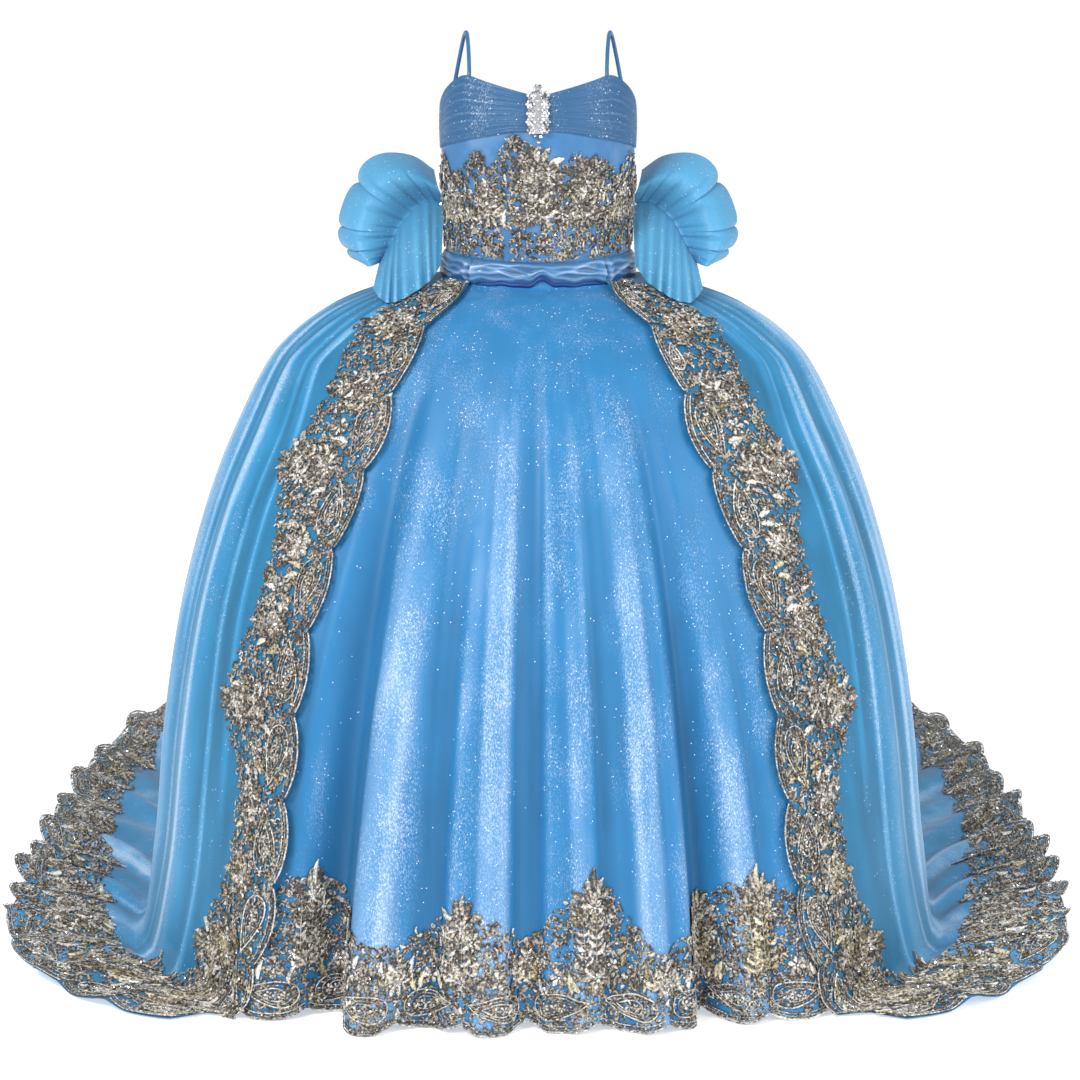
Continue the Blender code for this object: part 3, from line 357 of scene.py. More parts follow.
# Waistband: lower edge above the floor, the yoke under it, and the directions of its tied knots.
WAISTBAND_LOW = 0.8676
YOKE_HALF_WIDTH = 0.1232
YOKE_TAPER = 0.118
YOKE_FOOT = 0.862
YOKE_DEPTH_SHARE = 0.1010 / 0.1230
# Dark strip that paints the shadow line under the band: its height, its flat gap and its round.
SHADOW_STRIP_HEIGHT = 0.0052
SHADOW_STRIP_FLAT = 0.0006
SHADOW_STRIP_ROUND = 0.0028
KNOTS = (-43.0, 43.0)
# The band's gap to the yoke, its least thickness and its fullness, what a knot adds and how deep its
# tie cuts in, each with half its width in degrees, and the fold height that gets the full painted
# highlight.
BAND_GAP = 0.0008
BAND_SKIN = 0.0016
BAND_FULL = 0.0024
KNOT_FULL = 0.0090
KNOT_HALF_TURN = 9.0
TIE_DEPTH = 0.0095
TIE_HALF_TURN = 2.2
BAND_DEEPEST = 0.0034
WAIST_FOLD_COLUMNS = ("share", "half_width", "depth", "sway", "phase")
WAIST_FOLDS = (
    (0.18, 0.13, 0.0022, 0.06, 0.3),
    (0.40, 0.12, 0.0018, 0.09, 1.4),
    (0.58, 0.14, 0.0026, 0.07, 2.6),
    (0.80, 0.12, 0.0020, 0.05, 4.1),
)

# Reach of the lace above its scalloped edge, at each half repeat of its pattern.
HEM_REACH = (0.104, 0.168, 0.114, 0.200, 0.098, 0.158, 0.194, 0.132)
TRIM_REACH = (0.098, 0.112, 0.108, 0.150, 0.106, 0.112, 0.156, 0.104, 0.116, 0.156, 0.110, 0.134)
TRAIN_REACH = (0.158, 0.180, 0.162, 0.196, 0.154, 0.172)
# Places of the peaks in a repeat.
PEAKS = np.array((0.5, 1.0))
# Length of hem to each side of the front, and of train from its front corner, that has the full
# filling, because the front shows it.
HEM_SEEN = 0.62
TRAIN_SEEN = 1.35
# Lift of the lace off skirts and bodice, and the cloth's inset behind the outermost cord.
LACE_LIFT = 0.0016
BODICE_LACE_LIFT = 0.0010
CLOTH_INSET = 0.003
# Height over which the hem's cloth follows its scallops.
HEM_FOLLOWS = 0.06
# Levels between which the front trims run, and length of the train's last row. The bands of trim and
# train are looked for over so many columns and from the edge in to this level.
TRIM_ROWS = (0.25, 11.4)
TRAIN_ROW_LENGTH = 0.075
TRIM_BAND_COLUMNS = 14.0
TRAIN_BAND_ROW = 7.0
BAND_STEP = 0.005
BAND_FIRST = -0.015
BAND_REACH = 0.215
SCALLOP_DEPTH = 0.012
FLOOR_CLEARANCE = 0.0005
# How much painted shade darkens a cord at its sides.
CORD_SIDE_SHADE = 0.30
# Height of a cord as a share of its width, and height of a leaf's middle.
CORD_CROWN = 0.45
LEAF_CROWN = 0.0016
# Filling stitches: shares that are leaves and that carry a bead, lengths and width of a leaf, radii
# of a loop and of a bead, and the lowest stitch. Net and stitches stay under this share of the reach.
FILL_LEAVES = 0.40
FILL_BEADS = 0.14
FILL_LEAF_LENGTHS = (0.006, 0.010)
FILL_LEAF_WIDTH = 0.0044
FILL_LOOPS = (0.0022, 0.0044)
FILL_BEAD_SIZES = (0.0011, 0.0016)
FILL_FOOT = 0.014
UNDER_OUTLINE = 0.95
# Cords along each scallop: inset from the edge, width as a share of a cord, and tone.
EDGE_CORDS = ((0.0012, 0.68, 0.70), (0.0050, 0.52, 0.42), (0.0084, 0.52, 0.60))
EDGE_BEAD_INSET = 0.0068
# Paisley in each scallop: its middle from the edge, length and width. Its cords: size and tone. Its
# flowers: place along it.
PAISLEY_MIDDLE = 0.0310
PAISLEY_LENGTH = 0.074
PAISLEY_WIDTH = 0.034
PAISLEY_CORDS = ((1.0, 0.74), (0.74, 0.46), (0.50, 0.66))
PAISLEY_FLOWERS = (-0.50, -0.22, 0.06)
# Flowers and leaves of one repeat: u in repeats along it and v in metres across it.
ROSETTE_COLUMNS = ("u", "v", "radius", "petals", "tone")
ROSETTES = (
    (0.50, 0.064, 0.0190, 8, 0.46),
    (0.50, 0.064, 0.0100, 6, 0.70),
    (0.02, 0.060, 0.0150, 7, 0.54),
    (0.02, 0.060, 0.0080, 5, 0.72),
    (0.25, 0.066, 0.0110, 6, 0.50),
    (0.76, 0.068, 0.0120, 6, 0.60),
    (0.37, 0.080, 0.0085, 5, 0.64),
    (0.88, 0.082, 0.0085, 5, 0.48),
)
LEAF_COLUMNS = ("u", "v", "du", "dv")
LEAVES = (
    (0.36, 0.052, -0.05, 0.020),
    (0.40, 0.050, -0.02, 0.024),
    (0.62, 0.052, 0.05, 0.018),
    (0.66, 0.050, 0.02, 0.024),
    (0.86, 0.046, 0.04, 0.022),
    (0.14, 0.048, -0.03, 0.022),
    (0.18, 0.050, 0.03, 0.020),
    (0.10, 0.070, 0.02, 0.020),
    (0.60, 0.078, 0.04, 0.014),
    (0.30, 0.080, -0.03, 0.016),
)
# Sprays up to a peak: foot and width of the stems, distance of their leaf pairs, how much longer the
# lowest leaves are, and each spray's place aside in repeats, share of the peak, leaf width and tone.
SPRAY_FOOT = 0.060
STEM_WIDTH = 0.0020
PAIR_STEP = 0.012
LOW_LEAVES = 0.9
SPRAY_COLUMNS = ("aside", "share", "width", "tone")
SPRAYS = (
    (0.00, 1.00, 0.0080, 0.50),
    (-0.10, 0.84, 0.0062, 0.60),
    (0.09, 0.78, 0.0062, 0.44),
)
# Cluster at the head of a peak above this height, and the turns of its leaves.
TALL_PEAK = 0.125
HEAD_COLUMNS = ("along", "across", "radius", "petals", "tone", "gold")
HEAD_FLOWERS = (
    (0.000, 0.000, 0.0200, 8, 0.48, 0.0),
    (0.000, 0.000, 0.0105, 6, 0.70, 0.0),
    (0.019, -0.013, 0.0125, 7, 0.62, 0.0),
    (-0.021, -0.010, 0.0125, 7, 0.44, 0.7),
)
HEAD_LEAVES = (0.55, 1.15, 1.80, 2.50)
# The same for a lower peak, where one flower is enough, and the start and end of a cluster's leaves.
LOW_FLOWER = (0.0120, 7, 0.56)
HEAD_LEAF_ROOT = 0.016
HEAD_LEAF_LENGTH = 0.020
HEAD_LEAF_WIDTH = 0.0095

# Bow: its gathered seam, the fan's outer edge and the tail's lower edge, above the floor.
BOW_SPINE = (
    (0.1213, 0.0392, 0.957),
    (0.1480, 0.036, 0.958),
    (0.1740, 0.024, 0.936),
    (0.1880, 0.010, 0.912),
    (0.2040, -0.006, 0.884),
)
BOW_EDGE = (
    (0.1360, 0.052, 0.998),
    (0.1660, 0.048, 1.017),
    (0.2060, 0.042, 1.019),
    (0.2350, 0.034, 0.998),
    (0.2560, 0.018, 0.950),
    (0.2600, 0.008, 0.918),
    (0.2470, 0.000, 0.892),
    (0.2240, -0.006, 0.881),
)
TAIL_EDGE = (
    (0.1240, -0.050, 0.886),
    (0.1370, -0.080, 0.869),
    (0.1550, -0.100, 0.857),
    (0.1760, -0.108, 0.846),
    (0.1950, -0.098, 0.844),
    (0.2100, -0.066, 0.856),
)
# Notches between the fan's petals: place along its outer edge and depth as a share of its reach.
NOTCH_COLUMNS = ("share", "depth")
NOTCHES = ((0.46, 0.12), (0.66, 0.08), (0.81, 0.12))
# Folds of a fan: place along its seam, half width, depth, lean and how far out they end.
FAN_FOLD_COLUMNS = ("share", "half_width", "depth", "lean", "end")
FAN_FOLDS = (
    (0.09, 0.026, 0.0050, 0.02, 0.55),
    (0.19, 0.020, 0.0036, 0.03, 0.80),
    (0.30, 0.030, 0.0056, 0.02, 0.62),
    (0.40, 0.020, 0.0040, 0.01, 0.90),
    (0.51, 0.028, 0.0052, 0.00, 0.70),
    (0.61, 0.020, 0.0038, 0.00, 0.50),
    (0.72, 0.028, 0.0052, -0.01, 0.78),
    (0.84, 0.022, 0.0044, -0.01, 0.60),
    (0.93, 0.020, 0.0034, 0.00, 0.70),
)
FAN_DEEPEST = 0.0056
# How sharp the notches are, how each petal laps the next one, the width and depth of the seam, and
# how far the fan bellies back and its edge turns up.
NOTCH_SHARP = 0.022
LAP_OVER, LAP_UNDER = 0.08, 0.04
LAP_DEPTH = 0.040
SEAM_WIDTH = 0.035
SEAM_DEPTH = 0.0016
FAN_BELLY = 0.034
FAN_LIP = 0.012
# Pleats of a tail: their number, their depth at the seam, what they gain to the edge, and its belly.
TAIL_PLEATS = 7.5
TAIL_PLEAT = 0.0012
TAIL_PLEAT_GAIN = 0.0040
TAIL_BELLY = 0.016
# A tail's upper edge from the fan's seam.
TAIL_HEAD = (0.0, 0.002, 0.0015)
# Band across the back: from one direction to the other, its heights above the floor, gap to the
# bodice, least thickness, fold, fullness, and what its knot adds.
BACK_BAND = (112.0, 248.0)
BACK_BAND_TOP = 0.962
BACK_BAND_FOOT = 0.910
BACK_BAND_GAP = 0.0050
BACK_BAND_SKIN = 0.0024
BACK_BAND_FOLD = 0.0022
BACK_BAND_FULL = 0.004
BACK_KNOT_FULL = 0.014
BACK_KNOT_HALF_TURN = 14.0
BACK_FOLDS = 2.6

# Brooch: height of each row of stone flowers and how far they stand aside, in degrees.
BROOCH_COLUMNS = ("height", "aside")
BROOCH_ROWS = (
    (1.1115, 0.0),
    (1.1030, 3.7),
    (1.0920, 4.3),
    (1.0810, 3.8),
    (1.0705, 4.2),
    (1.0605, 3.5),
)
# A flower's middle stone and petal stones: lift and radius. Reach of the petals aside and upward.
FLOWER_MIDDLE = (0.0078, 0.0029)
FLOWER_PETAL = (0.0064, 0.0023)
PETAL_REACH = (2.0, 0.0037)
# Single stones: direction, height, lift and radius.
BROOCH_DROPS = [
    (0.0, 1.0975, 0.0085, 0.0024),
    (0.0, 1.0865, 0.0085, 0.0024),
    (0.0, 1.0755, 0.0085, 0.0024),
    (0.0, 1.0655, 0.0085, 0.0024),
    (-1.5, 1.0530, 0.0060, 0.0022),
    (1.6, 1.0520, 0.0060, 0.0024),
    (0.4, 1.0460, 0.0058, 0.0028),
    (0.8, 1.0390, 0.0058, 0.0022),
    (0.2, 1.0320, 0.0056, 0.0026),
]

# Plate behind the stones: half its width in degrees, heights, and lifts of its back and its face.
PLATE_HALF_TURN = 5.4
PLATE_TOP = 1.107
PLATE_FOOT = 1.056
PLATE_BACK = 0.0030
PLATE_FACE = 0.0054

# Painted shade and painted highlight of a cloth's folds: place from its troughs, darkened as painted
# shade, to its crests, whitened as painted highlight, share of its colour and share of white.
FOLD_SHADE_AND_HIGHLIGHT = ((0.05, 0.50, 0.0), (0.32, 0.80, 0.0), (0.55, 1.0, 0.0), (0.78, 1.15, 0.09), (1.0, 1.25, 0.24))
# Scale of the glitter, its painted glint haze, the weave and the threads per metre, the value above
# which a cell gets a painted glint, the haze's strength, and the roughness of cloth and of a glint.
GLITTER_SCALE = 520.0
GLINT_HAZE_SCALE = 620.0
WEAVE_SCALE = 900.0
THREAD_SCALE = 330.0
GLINT_ABOVE = 0.982
GLINT_HAZE_STRENGTH = 0.38
CLOTH_ROUGH, GLINT_ROUGH = 0.45, 0.18
# White painted into a glinting cell: a painted glint.
GLINT = (0.88, 0.93, 1.0)
# Places and colours of silver and gold thread, of the net behind them, real net whose near-black
# tones also paint the shade between the threads, and of the stones' painted facet reflections.
SILVER_TONES = (
    (0.06, (0.036, 0.030, 0.024)),
    (0.32, (0.130, 0.110, 0.088)),
    (0.53, (0.320, 0.290, 0.245)),
    (0.74, (0.560, 0.530, 0.470)),
    (0.98, (0.860, 0.840, 0.800)),
)
GOLD_TONES = ((0.05, (0.050, 0.038, 0.012)), (0.42, (0.270, 0.215, 0.085)), (0.94, (0.720, 0.640, 0.380)))
NET_AND_SHADE_TONES = ((0.34, (0.020, 0.016, 0.012)), (0.50, (0.110, 0.092, 0.070)), (0.62, (0.420, 0.390, 0.340)))
STONE_FACET_REFLECTIONS = ((0.0, (0.10, 0.11, 0.13)), (0.30, (0.42, 0.44, 0.47)), (0.65, (0.88, 0.89, 0.91)))
PLATE_SILVER = (0.72, 0.72, 0.74, 1.0)

# Studio: half the side of the floor, the camera's sensor in millimetres and its sideways shift, the
# point that the lights look at, and each light's name, place and size.
FLOOR_HALF = 14.0
SENSOR_WIDTH = 36.0
CAMERA_SHIFT = 0.0018
LIGHT_AIM = (0.0, 0.0, -0.2)
LIGHTS = (("key", (-2.4, -3.4, 3.0), 1.6), ("fill", (3.2, -2.6, 1.6), 2.4))
SIDES = (("left", -1), ("right", 1))
# Columns and rows of the grid of each cloth.
GRIDS = {
    "bodice": (161, 24), "bust": (60, 90), "closure": (9, 40), "waistband": (241, 18), "shadow_strip": (241, 6),
    "fan": (131, 26), "tail": (111, 18), "back_band": (100, 22), "plate": (13, 16),
}
# The underskirt's front, in degrees to each side, and its steps there and behind. Rows of both
# skirts, and grid columns to a table column of the overskirt.
FRONT_TURN = 58.0
FRONT_STEP = 0.66
BACK_STEP = 2.2
UNDER_ROWS_FINE = 96
OVER_ROWS_FINE = 112
OVER_FINE = 6
# Materials made so far, by name.
MADE = {}


class GownStage(bpy.types.PropertyGroup):
    """Camera and light of the studio."""

    lens: FloatProperty(name="Lens", description="Focal length of the camera", default=103.2, unit="CAMERA")
    distance: FloatProperty(name="Distance", description="Camera before the gown", default=4.0, unit="LENGTH")
    height: FloatProperty(name="Height", description="Camera above the waist", default=0.415, unit="LENGTH")
    pitch: FloatProperty(
        name="Pitch", description="Camera's look down", default=math.radians(11.07), unit="ROTATION")
    world: FloatProperty(name="World", description="Strength of the white surround", default=0.58, min=0.0)
    key: FloatProperty(name="Key", description="Power of the main light in watts", default=190.0, min=0.0)
    fill: FloatProperty(name="Fill", description="Power of the fill light in watts", default=90.0, min=0.0)
    glow: FloatProperty(name="Glow", description="Light given off by the floor", default=0.52, min=0.0)


class GownCloth(bpy.types.PropertyGroup):
    """Thickness, opacity and colours of the cloth."""

    wall: FloatProperty(name="Cloth", description="Thickness of a cloth", default=0.0009, unit="LENGTH")
    opacity: FloatProperty(name="Opacity", description="Opacity of the sheer cloth", default=0.80, max=1.0)
    tulle: FloatVectorProperty(
        name="Tulle", description="Skirt colour", default=(0.020, 0.186, 0.420), subtype="COLOR")
    sheer: FloatVectorProperty(
        name="Sheer", description="Overskirt colour", default=(0.030, 0.285, 0.560), subtype="COLOR")
    bow: FloatVectorProperty(
        name="Bow", description="Bow colour", default=(0.075, 0.335, 0.580), subtype="COLOR")
    satin: FloatVectorProperty(
        name="Satin", description="Bodice colour", default=(0.036, 0.165, 0.375), subtype="COLOR")
    band: FloatVectorProperty(
        name="Band", description="Waistband colour", default=(0.070, 0.205, 0.420), subtype="COLOR")
    # Colour of the dark strip that paints the shadow line under the waistband.
    shadow_strip: FloatVectorProperty(
        name="Shadow_strip", description="Waist piping colour", default=(0.002, 0.036, 0.210), subtype="COLOR")


class GownLace(bpy.types.PropertyGroup):
    """Size and density of the corded lace."""

    repeat: FloatProperty(name="Repeat", description="Length of a repeat", default=0.19, unit="LENGTH")
    cord: FloatProperty(name="Cord", description="Width of a cord", default=0.0032, unit="LENGTH")
    fill: IntProperty(name="Fill", description="Filling stitches in a full repeat", default=150, min=0)
    seed: IntProperty(name="Seed", description="Seed of the small variations", default=7)


# Numbers


def as_dicts(columns, rows):
    """Rows of a table with their column names."""
    return [dict(zip(columns, row)) for row in rows]


def read_table(table, place):
    """Straight-line value of a two-column table."""
    places, values = zip(*table)
    return np.interp(place, places, values)


def cubic(first, second, first_slope, second_slope, t):
    """Curve between two values with a slope at each, at t from 0 to 1."""
    return ((2 * t**3 - 3 * t**2 + 1) * first + (t**3 - 2 * t**2 + t) * first_slope
            + (3 * t**2 - 2 * t**3) * second + (t**3 - t**2) * second_slope)


def glide(values, at):
    """Smooth curve through evenly numbered values, with no high or low of its own."""
    values = np.asarray(values, float)
    step = np.diff(values)
    slope = np.empty_like(values)
    slope[0], slope[-1] = step[0], step[-1]
    same_way = step[:-1] * step[1:] > 0
    total = np.where(same_way, step[:-1] + step[1:], 1.0)
    slope[1:-1] = np.where(same_way, 2 * step[:-1] * step[1:] / total, 0.0)
    index = np.clip(np.floor(at).astype(int), 0, len(values) - 2)
    return cubic(values[index], values[index + 1], slope[index], slope[index + 1], at - index)


def levels_at(columns, rows, at):
    """Every column of a table at broken rows, each as an upright array."""
    return {name: glide([row[i] for row in rows], at)[:, None] for i, name in enumerate(columns)}


def through(points, shares):
    """Smooth curve through a short list of points, read at shares from 0 to 1."""
    points = np.asarray(points, float)
    at = np.asarray(shares, float) * (len(points) - 1)
    index = np.clip(np.floor(at).astype(int), 0, len(points) - 2)
    slope = np.gradient(points, axis=0)
    return cubic(points[index], points[index + 1], slope[index], slope[index + 1], (at - index)[:, None])


def mix_to(first, second, share):
    """Points moved from a first place towards a second one by a share."""
    return first * (1 - share) + second * share


def swell(distance, half_width):
    """Soft ridge: 1 on its crest and 0 from its half width on."""
    share = np.minimum(np.abs(distance) / half_width, 1.0)
    return np.cos(share * math.pi / 2) ** 2


def turned(first, second):
    """Smallest turn between directions in degrees."""
    return (first - second + 180.0) % 360.0 - 180.0


def unit(vectors):
    """Vectors at length 1."""
    return vectors / np.maximum(np.linalg.norm(vectors, axis=-1, keepdims=True), 1e-12)


def run_length(points):
    """Length along a line of points, up to each point."""
    return np.concatenate(([0.0], np.cumsum(np.linalg.norm(np.diff(points, axis=0), axis=1))))


def normals_of(grid, closed=False):
    """Outward normals of a grid whose rows go down and whose columns turn to +X at the front."""
    if closed:
        ring = np.concatenate((grid[:, -2:-1], grid, grid[:, 1:2]), axis=1)
        along = (ring[:, 2:] - ring[:, :-2]) / 2
    else:
        along = np.gradient(grid, axis=1)
    return unit(np.cross(np.gradient(grid, axis=0), along))


class Surface:
    """A grid of points with normals, read at any place between them."""

    def __init__(self, points, normals, rows, columns):
        self.points, self.normals, self.rows, self.columns = points, normals, rows, columns

    def at(self, row, column):
        """Points and normals at broken table rows and columns, carried on past the sides."""
        i = np.interp(row, self.rows, np.arange(len(self.rows)))
        j = np.interp(column, self.columns, np.arange(len(self.columns)))
        low, high = self.columns[0], self.columns[-1]
        j = j + np.minimum(column - low, 0) / (self.columns[1] - low)
        j = j + np.maximum(column - high, 0) / (high - self.columns[-2])
        return blend(self.points, i, j), unit(blend(self.normals, i, j))


def blend(grid, i, j):
    """Value of a grid between its points at broken indices."""
    low_i = np.clip(np.floor(i).astype(int), 0, grid.shape[0] - 2)
    low_j = np.clip(np.floor(j).astype(int), 0, grid.shape[1] - 2)
    s, t = (i - low_i)[..., None], (j - low_j)[..., None]
    upper = mix_to(grid[low_i, low_j], grid[low_i, low_j + 1], t)
    lower = mix_to(grid[low_i + 1, low_j], grid[low_i + 1, low_j + 1], t)
    return mix_to(upper, lower, s)


# Meshes


def new_piece(name, vertices, faces, material, facts=None, crisp=60):
    """Mesh object with its material and one number a vertex for each named fact."""
    mesh = bpy.data.meshes.new(name)
    mesh.from_pydata(vertices.tolist(), [], faces)
    for fact, values in (facts or {}).items():
        layer = mesh.attributes.new(fact, "FLOAT", "POINT")
        layer.data.foreach_set("value", np.asarray(values, np.float32))
    mesh.materials.append(material)
    mesh.update()
    mesh.shade_smooth()
    mesh.set_sharp_from_angle(angle=math.radians(crisp))
    piece = bpy.data.objects.new(name, mesh)
    bpy.context.scene.collection.objects.link(piece)
    return piece


def quads(index):
    """Quads between a grid of vertex numbers, with the outside on the side of the grid's normals."""
    return np.stack((index[:-1, :-1], index[1:, :-1], index[1:, 1:], index[:-1, 1:]), axis=-1).reshape(-1, 4)


def cloth_piece(name, outer, inner, material, crest=None, closed=False):
    """Thin closed cloth between two grids. A closed one meets itself at its first and last columns."""
    if crest is None:
        crest = np.full(outer.shape[:2], 0.5)
    if closed:
        outer, inner, crest = outer[:, :-1], inner[:, :-1], crest[:, :-1]
    count = crest.size
    index = np.arange(count).reshape(crest.shape)
    if closed:
        index = np.concatenate((index, index[:, :1]), axis=1)
        rims = (index[0], index[-1, ::-1])
    else:
        rims = (np.concatenate((index[0, :-1], index[:-1, -1], index[-1, :0:-1], index[::-1, 0])),)
    front = quads(index)
    sides = [np.stack((rim[:-1], rim[1:], rim[1:] + count, rim[:-1] + count), axis=-1) for rim in rims]
    faces = np.concatenate((front, front[:, ::-1] + count, *sides)).tolist()
    vertices = np.concatenate((outer.reshape(-1, 3), inner.reshape(-1, 3)))
    return new_piece(name, vertices, faces, material, {"crest": np.tile(crest.ravel(), 2)})


def area_of(grid):
    """Area of a grid's surface."""
    across = grid[1:, 1:] - grid[:-1, :-1]
    over = grid[1:, :-1] - grid[:-1, 1:]
    return float(np.sum(np.linalg.norm(np.cross(across, over), axis=-1)) / 2)


def sized(grid):
    """Width and length of the cloth that a grid takes, and its area."""
    width = max(run_length(row)[-1] for row in grid)
    length = max(run_length(grid[:, c])[-1] for c in range(0, grid.shape[1], 4))
    return (float(width), float(length)), area_of(grid)


# Materials


class Socket:
    """Shader value with the usual arithmetic."""

    def __init__(self, tree, source):
        self.tree, self.source = tree, source

    def math(self, operation, *others):
        node = self.tree.nodes.new("ShaderNodeMath")
        node.operation = operation
        for index, value in enumerate((self, *others)):
            if isinstance(value, Socket):
                self.tree.links.new(value.source, node.inputs[index])
            else:
                node.inputs[index].default_value = value
        return Socket(self.tree, node.outputs[0])

    def __add__(self, other):
        return self.math("ADD", other)

    def __sub__(self, other):
        return self.math("SUBTRACT", other)

    def __mul__(self, other):
        return self.math("MULTIPLY", other)

    def above(self, other):
        return self.math("GREATER_THAN", other)

    def step(self, low, high, start=0.0, end=1.0):
        """Straight ramp from start at low to end at high, held beyond."""
        node = self.tree.nodes.new("ShaderNodeMapRange")
        self.tree.links.new(self.source, node.inputs["Value"])
        for name, value in (("From Min", low), ("From Max", high), ("To Min", start), ("To Max", end)):
            node.inputs[name].default_value = value
        return Socket(self.tree, node.outputs["Result"])


class Finish:
    """One Principled material under construction."""

    def __init__(self, name, **constants):
        self.material = bpy.data.materials.new("gown_" + name)
        MADE[name] = self.material
        self.material.use_nodes = True
        self.tree = self.material.node_tree
        self.shader = self.tree.nodes["Principled BSDF"]
        for socket, value in constants.items():
            self.shader.inputs[socket.replace("_", " ")].default_value = value
        self.place = self.tree.nodes.new("ShaderNodeTexCoord").outputs["Object"]

    def noise(self, scale, detail=3.0, stretch=None):
        """Cloudy value from 0 to 1, at a scale per metre."""
        node = self.tree.nodes.new("ShaderNodeTexNoise")
        node.inputs["Scale"].default_value = scale
        node.inputs["Detail"].default_value = detail
        self.tree.links.new(self.stretched(stretch), node.inputs["Vector"])
        return Socket(self.tree, node.outputs["Fac"])

    def stretched(self, stretch):
        """Object coordinates, scaled along each axis where asked."""
        if stretch is None:
            return self.place
        node = self.tree.nodes.new("ShaderNodeMapping")
        node.inputs["Scale"].default_value = stretch
        self.tree.links.new(self.place, node.inputs["Vector"])
        return node.outputs["Vector"]

    def cells(self, scale):
        """Random value of each small cell, and the distance from its middle."""
        node = self.tree.nodes.new("ShaderNodeTexVoronoi")
        node.inputs["Scale"].default_value = scale
        self.tree.links.new(self.place, node.inputs["Vector"])
        split = self.tree.nodes.new("ShaderNodeSeparateColor")
        self.tree.links.new(node.outputs["Color"], split.inputs["Color"])
        return Socket(self.tree, split.outputs[0]), Socket(self.tree, node.outputs["Distance"])

    def fact(self, name):
        """Named number of the mesh."""
        node = self.tree.nodes.new("ShaderNodeAttribute")
        node.attribute_name = name
        return Socket(self.tree, node.outputs["Fac"])

    def mix(self, factor, first, second):
        """Colour between two colours or colour sockets."""
        node = self.tree.nodes.new("ShaderNodeMix")
        node.data_type = "RGBA"
        self.tree.links.new(factor.source, node.inputs["Factor"])
        for name, value in (("A", first), ("B", second)):
            socket = next(s for s in node.inputs if s.name == name and s.type == "RGBA")
            if isinstance(value, Socket):
                self.tree.links.new(value.source, socket)
            else:
                socket.default_value = (*value, 1.0)
        return Socket(self.tree, next(s for s in node.outputs if s.type == "RGBA"))

    def ramp(self, value, stops):
        """Colour read from (place, colour) stops."""
        node = self.tree.nodes.new("ShaderNodeValToRGB")
        self.tree.links.new(value.source, node.inputs["Fac"])
        marks = node.color_ramp.elements
        while len(marks) < len(stops):
            marks.new(1.0)
        for mark, (place, colour) in zip(marks, stops):
            mark.position = place
            mark.color = (*colour, 1.0)
        return Socket(self.tree, node.outputs["Color"])

    def feed(self, socket, value):
        """Lead a value to the shader."""
        self.tree.links.new(value.source, self.shader.inputs[socket])

    def bump(self, value, distance, strength=1.0):
        """Lead a height in metres to the shader's normal."""
        node = self.tree.nodes.new("ShaderNodeBump")
        node.inputs["Strength"].default_value = strength
        node.inputs["Distance"].default_value = distance
        self.tree.links.new(value.source, node.inputs["Height"])
        self.tree.links.new(node.outputs["Normal"], self.shader.inputs["Normal"])


def shade(colour, share):
    """Colour times a share."""
    return tuple(min(1.0, part * share) for part in colour)


def lighter(colour, share):
    """Colour moved towards white by a share."""
    return tuple(part + (1.0 - part) * share for part in colour)


def glitter_finish(name, colour, flecks=1.0, opacity=1.0, contrast=1.0, streak=(1.0, 1.0, 0.12)):
    """Fine cloth with silver glitter, painted shade in its fold troughs and painted highlights on its crests.
    """
    if name in MADE:
        return MADE[name]
    finish = Finish(name, Roughness=CLOTH_ROUGH, Sheen_Weight=0.06, Specular_IOR_Level=0.35)
    crest = finish.fact("crest")
    clouds = finish.noise(4.0, 4.0)
    streaks = finish.noise(30.0 if streak[2] < 1.0 else 300.0, 3.0, streak)
    uneven = (clouds * 0.30 + streaks * 0.36 - 0.33) * contrast
    # Painted shade in the troughs and painted highlight on the crests, plus random clouds and streaks.
    tone = (crest - 0.5) * (0.95 * contrast) + uneven + 0.5
    base = finish.ramp(tone, [(at, lighter(shade(colour, kept), white)) for at, kept, white in FOLD_SHADE_AND_HIGHLIGHT])
    patches = finish.noise(22.0, 3.0, (1.0, 1.0, 0.30))
    # Painted glints gather on the lit crests of folds and in random patches.
    crest_light_and_patches = ((crest - 0.5) * 0.9 + patches * 1.1 - 0.52) * flecks
    pick, distance = finish.cells(GLITTER_SCALE)
    glint = (pick + crest_light_and_patches * 0.10).above(GLINT_ABOVE) * distance.step(0.28, 0.42, 0.9, 0.0)
    # Painted glint haze: a soft white grain, mostly on the lit crests.
    haze_noise = finish.noise(GLINT_HAZE_SCALE, 2.0, (1.0, 1.0, 0.50))
    glint_haze = (haze_noise + crest_light_and_patches * 0.20).step(0.52, 0.74) * crest_light_and_patches.step(-0.05, 0.40) * GLINT_HAZE_STRENGTH
    finish.feed("Base Color", finish.mix(glint.math("MAXIMUM", glint_haze), base, GLINT))
    finish.feed("Roughness", glint.step(0.0, 1.0, CLOTH_ROUGH, GLINT_ROUGH))
    finish.bump(finish.noise(1500.0, 1.0), 0.0004, 0.35)
    if opacity < 1.0:
        weave = finish.noise(WEAVE_SCALE, 1.0)
        finish.feed("Alpha", (weave * 0.30 + crest * 0.10).step(0.05, 0.30, opacity - 0.12, opacity + 0.06))
    return finish.material


